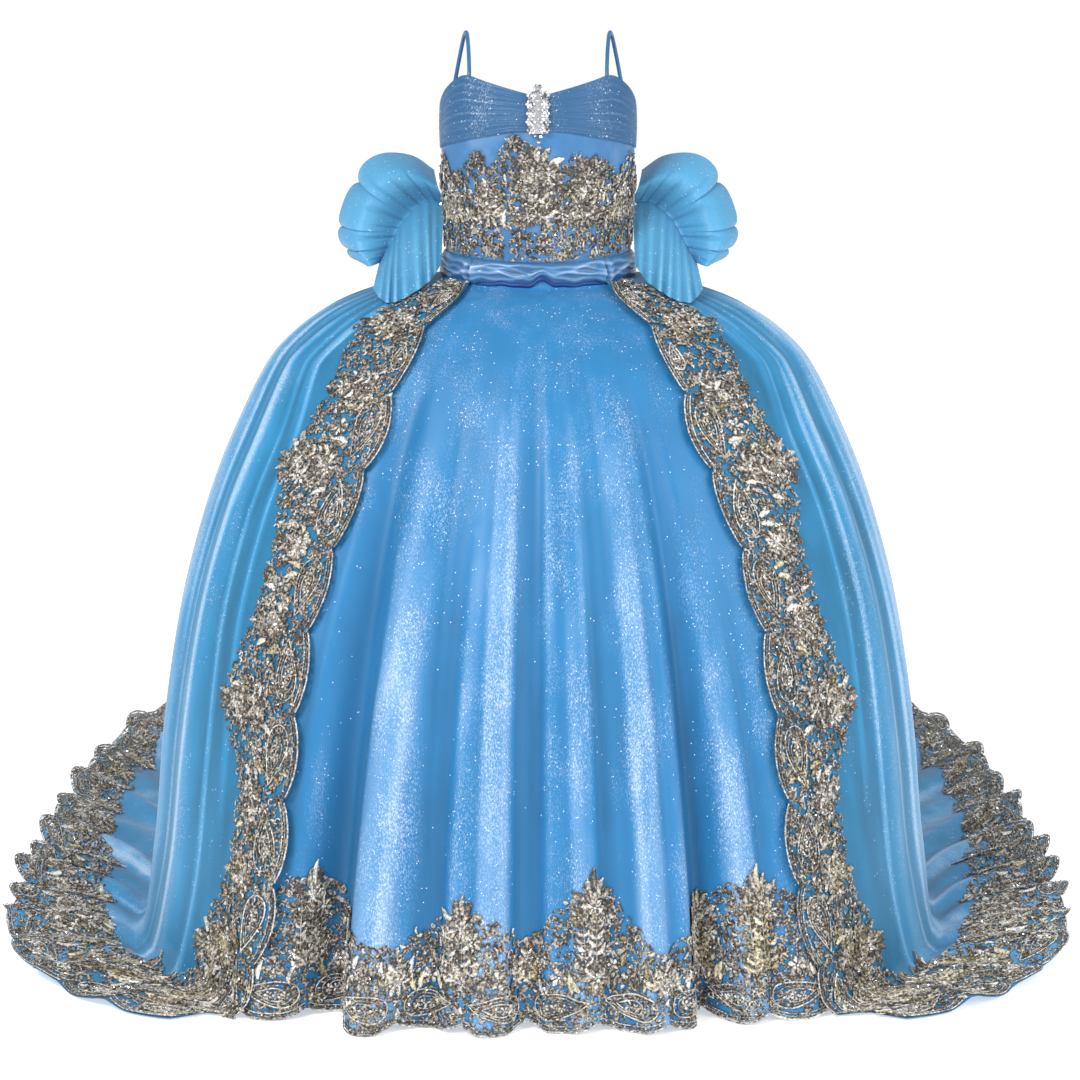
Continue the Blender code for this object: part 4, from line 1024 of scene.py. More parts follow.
def satin_finish(name, colour, roughness=0.32, highlight_white=0.22):
    """Smooth satin with a fine weave, painted shade in its troughs and a painted highlight on its crests."""
    if name in MADE:
        return MADE[name]
    finish = Finish(name, Roughness=roughness, Sheen_Weight=0.04, Specular_IOR_Level=0.5)
    tone = finish.fact("crest") * 0.8 + finish.noise(22.0) * 0.6 - 0.2
    # Painted shade at the ramp's dark end and a painted highlight, moved towards white, at its light end.
    finish.feed("Base Color", finish.ramp(tone, (
        (0.10, shade(colour, 0.50)), (0.50, colour), (0.90, lighter(shade(colour, 1.15), highlight_white)))))
    finish.bump(finish.noise(2400.0, 1.0, (1.0, 1.0, 0.3)), 0.0002, 0.25)
    return finish.material


def thread_finish():
    """Silver-gold cord and thread."""
    if "corded_lace" in MADE:
        return MADE["corded_lace"]
    finish = Finish("corded_lace", Roughness=0.40, Metallic=0.25, Specular_IOR_Level=0.6)
    # The tone fact holds each thread's random tone, with painted shade at cord sides and over whole bands.
    tone = finish.fact("tone")
    gold = finish.fact("gold") * 0.55
    speckle = finish.noise(THREAD_SCALE, 2.0)
    level = tone + (speckle - 0.46) * 1.7
    silver, yellow = finish.ramp(level, SILVER_TONES), finish.ramp(level, GOLD_TONES)
    finish.feed("Base Color", finish.mix(gold, silver, yellow))
    finish.bump(finish.noise(1300.0, 2.0), 0.0006, 0.7)
    return finish.material


def net_and_shade_finish():
    """Net and fine filling behind the cords, open in small gaps; its dark paints the shade between them."""
    if "lace_ground" in MADE:
        return MADE["lace_ground"]
    finish = Finish("lace_ground", Roughness=0.55, Metallic=0.15)
    threads = finish.noise(THREAD_SCALE, 2.0)
    finish.feed("Base Color", finish.ramp(threads + finish.noise(60.0) * 0.5 - 0.25, NET_AND_SHADE_TONES))
    openness = finish.cells(210.0)[0] + finish.noise(45.0) * 0.5
    finish.feed("Alpha", openness.step(0.76, 0.82, 1.0, 0.0))
    finish.bump(threads, 0.0010, 0.8)
    return finish.material


def stone_finish():
    """Clear faceted stone over a silver foil, its facets coloured as painted reflections, dark to white."""
    if "rhinestone" in MADE:
        return MADE["rhinestone"]
    finish = Finish("rhinestone", Roughness=0.12, Metallic=0.60, Specular_IOR_Level=1.0)
    finish.feed("Base Color", finish.ramp(finish.cells(260.0)[0], STONE_FACET_REFLECTIONS))
    return finish.material


# Skirts


def plan_points(degrees, level):
    """Points of level outlines by direction from their centres."""
    turn = np.radians(degrees)
    across, ahead = np.sin(turn), np.cos(turn)
    centre = level["centre"] if "centre" in level else 0.0
    depth = np.where(ahead > 0, level["front"] + centre, level["back"] - centre)
    square = level["square"]
    shares = np.abs(across / level["half_width"]) ** square + np.abs(ahead / depth) ** square
    reach = shares ** (-1 / square)
    height = level["height"] - FLOOR_DROP + 0 * reach
    return np.stack((reach * across, centre - reach * ahead, height), axis=-1)


def outward(degrees):
    """Level unit directions."""
    turn = np.radians(degrees)
    return np.stack((np.sin(turn), -np.cos(turn), 0 * turn), axis=-1)


def grown_folds(folds, degrees, height):
    """Each fold's depth, how far it has grown at a height, and its ridge over the directions."""
    for fold in as_dicts(FOLD_COLUMNS, folds):
        fallen = np.maximum(1 - height / fold["start"], 0.0)
        middle = fold["angle"] + fold["drift"] * fallen * fold["start"]
        yield fold["depth"], fallen, swell(turned(degrees, middle), fold["half_width"])


def fold_push(folds, degrees, height):
    """Sum of a table's folds at directions and heights."""
    total = np.zeros(np.broadcast(degrees, height).shape)
    for depth, fallen, ridge in grown_folds(folds, degrees, height):
        total += depth * fallen**0.8 * ridge
    return total


def fold_tone(folds, degrees, height, gain=2.6):
    """Light and dark of a table's folds: towards 1 on a crest and -1 in a trough."""
    total = np.zeros(np.broadcast(degrees, height).shape)
    for depth, fallen, ridge in grown_folds(folds, degrees, height):
        total += np.minimum(1.0, fallen * gain) * math.copysign(1.0, depth) * ridge
    return total


def underskirt_surface(row_count=UNDER_ROWS_FINE):
    """Underskirt with its folds, finest at the front. Its columns are directions."""
    back = np.arange(-180.0, -FRONT_TURN, BACK_STEP)
    front = np.arange(-FRONT_TURN, FRONT_TURN, FRONT_STEP)
    directions = np.concatenate((back, front, np.linspace(FRONT_TURN, 180.0, len(back) + 1)))
    rows = np.linspace(0.0, len(SKIRT_ROWS) - 1, row_count)
    level = levels_at(SKIRT_COLUMNS, SKIRT_ROWS, rows)
    degrees = np.broadcast_to(directions, (row_count, len(directions)))
    points = plan_points(degrees, level)
    yoke = np.clip(2.0 - rows, 0.0, 1.0)[:, None]
    points[:, :, 2] += HEM_SIDE_RISE * yoke * np.sin(np.radians(degrees)) ** 2
    push = fold_push(CORNER_FOLDS, degrees, level["height"])
    for folds in (FRONT_FOLDS, SIDE_FOLDS, CREASES):
        push = push + fold_push(folds, degrees, level["height"])
    push = push * np.clip(rows - 1.0, 0.0, 1.0)[:, None]
    points = points + outward(degrees) * push[:, :, None]
    # Painted shade in the troughs and painted highlight on the crests of folds and creases.
    main = fold_tone(FRONT_FOLDS, degrees, level["height"]) + fold_tone(SIDE_FOLDS, degrees, level["height"])
    tone = 0.55 * main + 0.40 * fold_tone(CREASES, degrees, level["height"])
    crest = np.clip(0.50 + 0.5 * tone, 0.0, 1.0)
    return Surface(points, normals_of(points, closed=True), rows, directions), crest


def over_directions(level, i):
    """Directions of the overskirt's table columns on its fine row i."""
    here = {name: values[i] for name, values in level.items()}
    fan = np.linspace(0.0, 90.0, 721)
    start = float(np.interp(here["edge_x"][0], plan_points(fan, here)[:, 0], fan))
    high, low = TRIM_WIDENS
    wide = np.clip((here["fold_height"][0] - high) / (low - high), 0.0, 1.0)
    strip = (WAIST_TRIM_WIDTH + (TRIM_WIDTH - WAIST_TRIM_WIDTH) * wide) / EDGE_STRIPS
    directions = [start]
    for _ in range(EDGE_STRIPS):
        point = plan_points(np.array([directions[-1]]), here)[0, :2] - np.array((0.0, here["centre"][0]))
        directions.append(directions[-1] + math.degrees(strip / np.linalg.norm(point)))
    rest = OVER_STEPS - EDGE_STRIPS
    share = np.arange(1, rest + 1) / rest
    return np.concatenate((directions, directions[-1] + (180.0 - directions[-1]) * share))


def at_side(row, side):
    """A table's value for the left or the right side."""
    return row["left"] if side < 0 else row["right"]


def gather_push(table, columns, rows, side, deepest=None):
    """Depth of the overskirt's folds at columns and levels, or their share of the deepest one."""
    total = np.zeros((len(rows), len(columns)))
    for gather in as_dicts(GATHER_COLUMNS, table):
        grown = np.clip((rows - gather["start"]) / 2.0, 0.0, 1.0)
        grown = grown * np.clip((gather["end"] - rows) / 2.5, 0.0, 1.0)
        depth = at_side(gather, side)
        if deepest:
            depth = 0.4 + 0.6 * depth / deepest
        total += depth * grown[:, None] * swell(columns - gather["column"], gather["half_width"])[None, :]
    return total


def front_column(side):
    """Index of the column at the overskirt's front edge."""
    return -1 if side < 0 else 0


def overskirt_surface(side, row_count=OVER_ROWS_FINE, fine=OVER_FINE):
    """One side of the overskirt. Its columns count from the front edge to the centre back."""
    rows = np.linspace(0.0, len(OVER_ROWS) - 1, row_count)
    columns = np.linspace(0.0, OVER_STEPS, OVER_STEPS * fine + 1)
    level = levels_at(OVER_COLUMNS, OVER_ROWS, rows)
    coarse = np.arange(OVER_STEPS + 1)
    turns = [np.interp(columns, coarse, over_directions(level, i)) for i in range(row_count)]
    degrees = side * np.array(turns)
    points = plan_points(degrees, level)
    main = gather_push(GATHERS, columns, rows, side)
    small = gather_push(SMALL_GATHERS, columns, rows, side)
    push = fold_push(CORNER_FOLDS, degrees, level["fold_height"]) * level["corner"]
    push = push + (main + small) * level["gather"]
    points = points + outward(degrees) * push[:, :, None]
    points[:, :, 2] += main / GATHER_DEEPEST * TRAIN_WAVE * level["wave"]
    ripple = np.zeros(len(columns))
    for row in as_dicts(RIPPLE_COLUMNS, RIPPLES):
        ripple += at_side(row, side) * swell(columns - row["column"], row["half_width"])
    begin, full = RIPPLE_LEVELS
    on_floor = np.clip((rows - begin) / (full - begin), 0.0, 1.0)[:, None]
    points[:, :, 2] += ripple * on_floor
    points += outward(degrees) * ((ripple - RIPPLE_MEAN) * 0.6 * on_floor**2)[:, :, None]
    # Painted shade in the troughs of the gathers and painted highlight on their crests.
    crest = 0.28 + 0.48 * gather_push(GATHERS, columns, rows, side, GATHER_DEEPEST)
    crest = crest + 0.45 * gather_push(SMALL_GATHERS, columns, rows, side, SMALL_GATHER_DEEPEST)
    crest = np.clip(crest, 0.0, 1.0)
    # Painted highlights on the edges of single folds.
    for edge in as_dicts(FOLD_HIGHLIGHT_COLUMNS, FOLD_HIGHLIGHTS):
        share = np.clip((rows - edge["start"]) / (edge["end"] - edge["start"]), 0.0, 1.0)
        middle = edge["column"] + 0.35 * side + (edge["foot"] - edge["column"]) * share
        strength = FOLD_HIGHLIGHT_STRENGTH * np.sin(math.pi * share) ** 0.5
        crest = crest + strength[:, None] * swell(columns - middle[:, None], FOLD_HIGHLIGHT_HALF_WIDTH)
    crest = np.clip(crest, 0.0, 1.0)
    if side < 0:
        points = points[:, ::-1]
        crest = crest[:, ::-1]
    normals = normals_of(points)
    points = points + normals * level["lift"][:, :, None]
    points[:, :, 2] = np.maximum(points[:, :, 2], -FLOOR_DROP + 0.0012)
    middle_back = 0 if side < 0 else -1
    points[:, middle_back, 0] = 0.0
    normals = normals_of(points)
    normals[:, middle_back, 0] = 0.0
    if side < 0:
        columns = columns - OVER_STEPS
    return Surface(points, unit(normals), rows, columns), crest


# Lace bands


def scallop(along, repeat):
    """How far the scalloped edge stands back, two scallops a repeat."""
    share = (along / (repeat / 2)) % 1.0
    return SCALLOP_DEPTH * (1.0 - np.sin(math.pi * share) ** 0.7)


class Band:
    """Strip of a cloth, in metres along it and across it from its edge."""

    def __init__(self, points, normals, repeat):
        self.points, self.normals = points, normals
        self.length = (len(points) - 1) * BAND_STEP
        self.count = max(1, round(self.length / repeat))
        self.repeat = self.length / self.count
        middle = len(points) // 2
        along = points[middle + 1, 4] - points[middle, 4]
        across = points[middle, 5] - points[middle, 4]
        self.mirrored = bool(np.dot(np.cross(along, across), normals[middle, 4]) < 0)

    def repeats(self):
        """Start of each repeat, and whether its flowers are turned over."""
        return [(index * self.repeat, index % 2 == 1) for index in range(self.count)]

    def lay(self, places, lifts):
        """Points in space of (along, across) places, lifted off the cloth."""
        i = places[:, 0] / BAND_STEP
        j = (places[:, 1] - BAND_FIRST) / BAND_STEP
        points = blend(self.points, i, j) + unit(blend(self.normals, i, j)) * lifts[:, None]
        points[:, 2] = np.maximum(points[:, 2], FLOOR_CLEARANCE - FLOOR_DROP)
        return points


def band_from(surface, count, lines, repeat):
    """Band over a surface. lines gives, for each station, the rows and columns of a line across."""
    across = np.arange(BAND_FIRST, BAND_REACH + BAND_STEP, BAND_STEP)
    laid = [surface.at(*lines(station, across)) for station in range(count + 1)]
    return Band(np.array([points for points, _ in laid]), np.array([normals for _, normals in laid]), repeat)


def hem_band(surface, repeat):
    """Band round the underskirt's hem, from the centre back."""
    length = run_length(surface.points[-1])
    count = int(length[-1] / BAND_STEP)
    columns = np.interp(np.arange(count + 1) * BAND_STEP, length, surface.columns)
    heights = surface.points[:, 0, 2] + FLOOR_DROP

    def lines(station, across):
        rows = np.interp(np.maximum(across, 0.0), heights[::-1], surface.rows[::-1])
        return rows, np.full(len(across), columns[station])

    return band_from(surface, count, lines, repeat)


def trim_band(surface, side, repeat):
    """Band down the overskirt's front edge, from the waist."""
    length = run_length(surface.points[:, front_column(side)])
    start, end = np.interp(TRIM_ROWS, surface.rows, length)
    count = int((end - start) / BAND_STEP)
    rows = np.interp(start + np.arange(count + 1) * BAND_STEP, length, surface.rows)
    columns = np.linspace(0.0, TRIM_BAND_COLUMNS, 85)

    def lines(station, across):
        line = surface.at(np.full(len(columns), rows[station]), side * columns)[0]
        reach = run_length(line)
        found = np.interp(across, reach, columns) + np.minimum(across, 0.0) / (reach[1] / columns[1])
        return np.full(len(across), rows[station]), side * found

    return band_from(surface, count, lines, repeat)


def train_band(surface, side, repeat):
    """Band round the train, from the front corner to the centre back."""
    length = run_length(surface.points[-1, ::side])
    count = int(length[-1] / BAND_STEP)
    columns = np.interp(np.arange(count + 1) * BAND_STEP, length, surface.columns[::side])
    upward = np.linspace(len(OVER_ROWS) - 1, TRAIN_BAND_ROW, 61)

    def lines(station, across):
        line = surface.at(upward, np.full(len(upward), columns[station]))[0]
        rows = np.interp(np.maximum(across, 0.0), run_length(line), upward)
        return rows, np.full(len(across), columns[station])

    return band_from(surface, count, lines, repeat)


class Needlework:
    """Cords, leaves and beads drawn flat on a band."""

    def __init__(self, seed, band_shade=0.0):
        self.chance = np.random.default_rng(seed)
        self.places, self.lifts, self.tones, self.golds, self.faces, self.beads = [], [], [], [], [], []
        self.count = 0
        self.rise = 0.0
        # Painted shade that darkens every thread of the band; the bodice and the trims get it.
        self.band_shade = band_shade

    def tone_near(self, tone, spread=0.22):
        """Tone with the chance of a brighter or a darker thread."""
        return float(np.clip(tone + self.chance.normal(0.0, spread), 0.02, 1.0))

    def strip(self, line, widths, height, tone, gold=0.0):
        """Raised strip along a line: its sides lie on the cloth and its middle stands up."""
        along = unit(np.gradient(line, axis=0))
        aside = np.stack((-along[:, 1], along[:, 0]), axis=1) * (np.asarray(widths) / 2)[:, None]
        n = len(line)
        self.places.append(np.concatenate((line - aside, line, line + aside)))
        self.lifts.append(self.rise + np.concatenate((np.zeros(n), np.full(n, height), np.zeros(n))))
        shades = tone - self.band_shade + self.chance.normal(0.0, 0.10, 3 * n)
        # Painted shade at the sides, where the strip turns down to the cloth.
        shades[:n] -= CORD_SIDE_SHADE
        shades[2 * n:] -= CORD_SIDE_SHADE
        self.tones.append(np.clip(shades, 0.0, 1.0))
        self.golds.append(np.full(3 * n, gold))
        i = self.count + np.arange(n - 1)
        self.faces.append(np.stack((i, i + n, i + n + 1, i + 1), axis=1))
        self.faces.append(np.stack((i + n, i + 2 * n, i + 2 * n + 1, i + n + 1), axis=1))
        self.count += 3 * n

    def cord(self, line, width, tone, gold=0.0):
        """Even cord."""
        self.strip(line, np.full(len(line), width), CORD_CROWN * width, tone, gold)

    def leaf(self, base, tip, width, tone, gold=0.0, bend=0.0, belly=1.0):
        """Leaf or petal with a raised middle. Above 1, belly moves its widest place to the tip."""
        share = np.linspace(0.0, 1.0, 5)
        run = tip - base
        aside = np.array((-run[1], run[0])) * bend
        line = base + run * share[:, None] + aside * np.sin(math.pi * share)[:, None]
        widths = width * np.sin(math.pi * (0.10 + 0.86 * share**belly)) ** 0.75
        self.strip(line, widths, LEAF_CROWN, tone, gold)

    def flower(self, centre, radius, petals, tone, gold=0.0):
        """Ring of round petals of mixed tones about a bead."""
        start = self.chance.uniform(0.0, math.pi)
        for petal in range(petals):
            out = heading(start + petal * 2 * math.pi / petals) * radius
            width = 3.5 * radius / petals
            self.leaf(centre + 0.22 * out, centre + out, width, self.tone_near(tone, 0.13), gold, 0.0, 1.7)
        self.beads.append((*centre, min(0.0026, 0.16 * radius)))

    def paisley(self, centre, length, width, hand, cord):
        """Teardrop of three cords about a row of small flowers, with stitches inside its outer cord."""
        turn = np.linspace(0.0, 2 * math.pi, 30)
        drop = np.stack((hand * np.cos(turn), np.sin(turn) * np.sin(turn / 2) ** 1.1), axis=1)
        drop[:, 1] += 0.30 * (0.5 + 0.5 * np.cos(turn)) ** 2
        full = drop * (length / 2, width * 0.62)
        for kept, tone in PAISLEY_CORDS:
            self.cord(centre + full * kept, cord * 0.62, self.tone_near(tone, 0.08))
        for point in full[2:-2:2]:
            self.leaf(centre + point * 0.78, centre + point * 0.97, 0.0022, self.tone_near(0.55))
        for place in PAISLEY_FLOWERS:
            middle = centre + np.array((hand * place * length / 2, 0.0))
            self.flower(middle, 0.17 * width, 5, 0.70)

    def spray(self, base, tip, width, tone, gold=0.0):
        """Stem with pairs of round leaves, ending in a small flower."""
        run = tip - base
        reach = float(np.linalg.norm(run))
        ahead = run / reach
        aside = np.array((-ahead[1], ahead[0]))
        self.cord(base + run * np.linspace(0.0, 0.8, 4)[:, None], STEM_WIDTH, tone)
        pairs = max(2, int(reach / PAIR_STEP))
        for pair in range(pairs):
            root = base + run * (0.05 + 0.75 * pair / pairs)
            size = width * (1.0 + LOW_LEAVES - LOW_LEAVES * pair / pairs)
            for hand in (-1, 1):
                end = root + (ahead * 0.9 + aside * hand) * size * self.chance.uniform(0.7, 1.1)
                self.leaf(root, end, size * 0.62, self.tone_near(tone), gold, 0.15 * hand, 1.3)
        self.leaf(base + run * 0.78, tip, width * 1.1, self.tone_near(tone), gold, 0.08)

    def hook(self, centre, size, width, tone, gold=0.0):
        """Small open loop of thread."""
        start, sweep = self.chance.uniform(0.0, 2 * math.pi), self.chance.uniform(2.0, 4.4)
        self.cord(centre + heading(start + sweep * np.linspace(0.0, 1.0, 6)) * size, width, tone, gold)

    def piece(self, name, band, lift):
        """Mesh of all of it, laid on its band."""
        vertices = band.lay(np.concatenate(self.places), np.concatenate(self.lifts) + lift)
        faces = np.concatenate(self.faces)
        if not band.mirrored:
            faces = faces[:, ::-1]
        facts = {"tone": np.concatenate(self.tones), "gold": np.concatenate(self.golds)}
        return new_piece(name, vertices, faces.tolist(), thread_finish(), facts)


def heading(angle):
    """Flat unit vectors at angles."""
    return np.stack((np.cos(angle), np.sin(angle)), axis=-1)


def gold_patch(along, across):
    """1 inside the patches worked in gold thread."""
    return float(math.sin(41.0 * along + 1.7) * math.sin(55.0 * across + 13.0 * along) > 0.30)


def reach_at(along, table, repeat):
    """Reach of the lace at places along its band, from one peak or dip to the next."""
    at = np.asarray(along) / (repeat / 2)
    low = np.floor(at).astype(int)
    share = at - low
    return np.take(table, low, mode="wrap") * (1 - share) + np.take(table, low + 1, mode="wrap") * share


def draw_edge(work, band, start, cord, size):
    """Scalloped cords and a paisley in each scallop of one repeat."""
    share = np.linspace(0.03, 0.97, 13)
    for half in range(2):
        along = start + (half + share) * band.repeat / 2
        edge = scallop(along, band.repeat)
        for inset, width, tone in EDGE_CORDS:
            work.cord(np.stack((along, edge + inset), axis=1), cord * width, work.tone_near(tone, 0.10))
        for i in range(1, 12, 2):
            work.beads.append((along[i], edge[i] + EDGE_BEAD_INSET, 0.0012))
        centre = np.array((start + (half + 0.5) * band.repeat / 2, PAISLEY_MIDDLE * size))
        work.paisley(centre, PAISLEY_LENGTH * size, PAISLEY_WIDTH * size, 1 - 2 * half, cord)


def draw_flowers(work, band, start, flip, reach, size):
    """Rosettes, leaves and sprays of one repeat, up to the peaks at its middle and its end."""
    def at(u, v):
        return np.array((start + (1.0 - u if flip else u) * band.repeat, v * size))

    for flower in as_dicts(ROSETTE_COLUMNS, ROSETTES):
        work.flower(at(flower["u"], flower["v"]), flower["radius"] * size, flower["petals"], flower["tone"])
    for leaf in as_dicts(LEAF_COLUMNS, LEAVES):
        base = at(leaf["u"], leaf["v"])
        tip = at(leaf["u"] + leaf["du"], leaf["v"] + leaf["dv"])
        work.leaf(base, tip, 0.0078 * size, work.tone_near(0.62), gold_patch(*base), 0.12)
    for u, peak in zip(PEAKS, reach(start + band.repeat * PEAKS)):
        foot = np.array((start + u * band.repeat, SPRAY_FOOT * size))
        if peak >= foot[1] + 0.02:
            draw_peak(work, band, foot, peak)


def draw_peak(work, band, foot, peak):
    """Sprays up to one peak of the outline, with flowers at its head."""
    for spray in as_dicts(SPRAY_COLUMNS, SPRAYS):
        aside = spray["aside"] * band.repeat
        tip = np.array((foot[0] + aside, peak * spray["share"]))
        work.spray(foot + (0.7 * aside, 0.0), tip, spray["width"], spray["tone"], gold_patch(tip[0], peak))
    head = np.array((foot[0] - 0.01 * band.repeat, peak * 0.76))
    if peak <= TALL_PEAK:
        work.flower(head, *LOW_FLOWER)
        return
    for flower in as_dicts(HEAD_COLUMNS, HEAD_FLOWERS):
        middle = head + (flower["along"], flower["across"])
        work.flower(middle, flower["radius"], flower["petals"], flower["tone"], flower["gold"])
    for turn in HEAD_LEAVES:
        root = head + heading(turn) * HEAD_LEAF_ROOT
        tip = root + heading(turn) * HEAD_LEAF_LENGTH
        work.leaf(root, tip, HEAD_LEAF_WIDTH, work.tone_near(0.55), 0.0, 0.1)


def fill_band(work, band, start, reach, count, cord, size=1.0):
    """Small loops and leaves of thread all over a repeat, under its outline."""
    chance = work.chance
    for _ in range(count):
        along = start + chance.uniform(0.0, band.repeat)
        top, foot = float(reach(along)) * UNDER_OUTLINE, FILL_FOOT * size
        place = np.array((along, foot + (top - foot) * chance.uniform(0.0, 1.0) ** 1.1))
        gold = gold_patch(*place)
        if chance.uniform() < FILL_LEAVES:
            out = heading(chance.uniform(0.0, 2 * math.pi)) * chance.uniform(*FILL_LEAF_LENGTHS) * size
            work.leaf(place, place + out, FILL_LEAF_WIDTH * size, work.tone_near(0.50), gold, 0.2)
        else:
            work.hook(place, chance.uniform(*FILL_LOOPS) * size, cord * 0.64, work.tone_near(0.50), gold)
        if chance.uniform() < FILL_BEADS:
            work.beads.append((*place, chance.uniform(*FILL_BEAD_SIZES)))


def net_and_shade_piece(name, band, reach, lift, low):
    """Net behind the cords, which also paints the shade between them, cut to the outline of the pattern."""
    count = int(band.length / 0.0065)
    u = np.arange(count + 1) * band.length / count
    top = reach(u) * UNDER_OUTLINE + 0.004 * np.sin(u * 820.0) + 0.003 * np.sin(u * 1730.0)
    v = low(u)[:, None] + (top - low(u))[:, None] * np.linspace(0.0, 1.0, 17)
    places = np.stack((np.broadcast_to(u[:, None], v.shape), v), axis=-1).reshape(-1, 2)
    faces = quads(np.arange(v.size).reshape(v.shape))
    if band.mirrored:
        faces = faces[:, ::-1]
    return new_piece(name, band.lay(places, np.full(len(places), lift)), faces.tolist(), net_and_shade_finish())


def lace_pieces(name, nodes, band, work, reach, lift, low=None):
    """Cords, net and beads of one band of lace, tied to their nodes."""
    if low is None:
        def low(u):
            return scallop(u, band.repeat) + 0.0015
    cords = settle(work.piece(name + "_cords", band, lift + 0.0006), nodes)
    net_and_shade = settle(net_and_shade_piece(name + "_ground", band, reach, lift, low), [])
    beads = np.array(work.beads)
    points = band.lay(beads[:, :2], beads[:, 2] * 0.6 + lift + 0.0016)
    stones = stones_piece(name + "_beads", points, beads[:, 2], stone_finish())
    return [cords, net_and_shade, settle(stones, [])]


def edge_lace(name, nodes, band, work, reach, plan):
    """Lace with a scalloped edge. plan gives the sizes of edge, flowers and filling, and the stitches."""
    cord = bpy.context.scene.gown_lace.cord
    for start, flip in band.repeats():
        edge, flowers, filling, stitches = plan(start)
        draw_edge(work, band, start, cord, edge)
        draw_flowers(work, band, start, flip, reach, flowers)
        fill_band(work, band, start, reach, stitches, cord, filling)
    return lace_pieces(name, nodes, band, work, reach, LACE_LIFT)


# Stones


def stone_tree():
    """Geometry Nodes tree that sets a faceted stone on each vertex."""
    tree = bpy.data.node_groups.get("Set stones")
    if tree:
        return tree
    tree = bpy.data.node_groups.new("Set stones", "GeometryNodeTree")
    for name, way, kind in (("Geometry", "INPUT", "Geometry"), ("Detail", "INPUT", "Int"),
                            ("Material", "INPUT", "Material"), ("Geometry", "OUTPUT", "Geometry")):
        tree.interface.new_socket(name, in_out=way, socket_type="NodeSocket" + kind)
    start = tree.nodes.new("NodeGroupInput")
    end = tree.nodes.new("NodeGroupOutput")
    stone = tree.nodes.new("GeometryNodeMeshIcoSphere")
    stone.inputs["Radius"].default_value = 1.0
    spread = tree.nodes.new("GeometryNodeInstanceOnPoints")
    size = tree.nodes.new("GeometryNodeInputNamedAttribute")
    size.data_type = "FLOAT"
    size.inputs["Name"].default_value = "size"
    turn = tree.nodes.new("FunctionNodeRandomValue")
    turn.data_type = "FLOAT_VECTOR"
    turn.inputs["Max"].default_value = (2 * math.pi, 2 * math.pi, 2 * math.pi)
    real = tree.nodes.new("GeometryNodeRealizeInstances")
    paint = tree.nodes.new("GeometryNodeSetMaterial")
    for source, sink in (
            (start.outputs["Detail"], stone.inputs["Subdivisions"]),
            (start.outputs["Geometry"], spread.inputs["Points"]),
            (stone.outputs["Mesh"], spread.inputs["Instance"]),
            (next(s for s in size.outputs if s.type == "VALUE"), spread.inputs["Scale"]),
            (next(s for s in turn.outputs if s.type == "VECTOR"), spread.inputs["Rotation"]),
            (spread.outputs["Instances"], real.inputs["Geometry"]),
            (real.outputs["Geometry"], paint.inputs["Geometry"]),
            (start.outputs["Material"], paint.inputs["Material"]),
            (paint.outputs["Geometry"], end.inputs["Geometry"])):
        tree.links.new(source, sink)
    return tree


def stones_piece(name, points, sizes, material, detail=1):
    """Stones of given sizes at given points, as one plain mesh."""
    holder = new_piece(name + "_points", np.asarray(points), [], material, {"size": sizes})
    modifier = holder.modifiers.new("Stones", "NODES")
    modifier.node_group = stone_tree()
    crest_light_and_patches = {"Detail": detail, "Material": material}
    for item in modifier.node_group.interface.items_tree:
        if item.in_out == "INPUT" and item.name in crest_light_and_patches:
            modifier[item.identifier] = crest_light_and_patches[item.name]
    bpy.context.view_layer.update()
    mesh = bpy.data.meshes.new_from_object(holder.evaluated_get(bpy.context.evaluated_depsgraph_get()))
    mesh.name = name
    piece = bpy.data.objects.new(name, mesh)
    bpy.context.scene.collection.objects.link(piece)
    bpy.data.objects.remove(holder)
    return piece


# Bodice


def bodice_points(degrees, heights):
    """Points of the bodice's outer face at directions and heights above the floor."""
    turn = np.radians(degrees)
    levels, *sizes = zip(*BODICE_ROWS)
    at = np.interp(heights, levels, np.arange(len(levels)))
    half_width, front, back = (glide(values, at) for values in sizes)
    depth = np.where(np.cos(turn) > 0, front, back)
    return np.stack((half_width * np.sin(turn), -depth * np.cos(turn), heights - FLOOR_DROP), axis=-1)


def body_normals(points):
    """Level outward normals on the bodice."""
    return unit(points * (1 / BODICE_SHAPE[0] ** 2, 1 / BODICE_SHAPE[1] ** 2, 0.0))


def neckline(degrees):
    """Height of the neckline, rounded off between its table's places."""
    return sum(read_table(NECKLINE, np.abs(degrees) + aside) for aside in (-3.0, 0.0, 3.0)) / 3


def bodice_hem(degrees):
    """Height of the bodice's lower edge."""
    return HEM_FRONT + HEM_SIDE_RISE * np.sin(np.radians(degrees)) ** 2


def overlay_edge(degrees):
    """Height of the bust overlay's lower edge."""
    return read_table(OVERLAY_LOWER, np.abs(degrees))


def between(first, last, cloth, top, bottom):
    """Directions, shares downward and heights of a cloth's grid between two edges given by direction."""
    columns, rows = GRIDS[cloth]
    degrees = np.linspace(first, last, columns)
    share = np.linspace(0.0, 1.0, rows)[:, None]
    heights = top(degrees) + (bottom(degrees) - top(degrees)) * share
    return np.broadcast_to(degrees, heights.shape), np.broadcast_to(share, heights.shape), heights


def flat_edge(height):
    """Edge at one height in every direction."""
    return lambda degrees: np.full_like(degrees, height)


def yoke_points(degrees, reach, heights):
    """Points about the waist yoke at a sideways reach."""
    turn = np.radians(degrees)
    across, ahead = reach * np.sin(turn), reach * YOKE_DEPTH_SHARE * np.cos(turn)
    return np.stack((across, -ahead, heights - FLOOR_DROP), axis=-1)


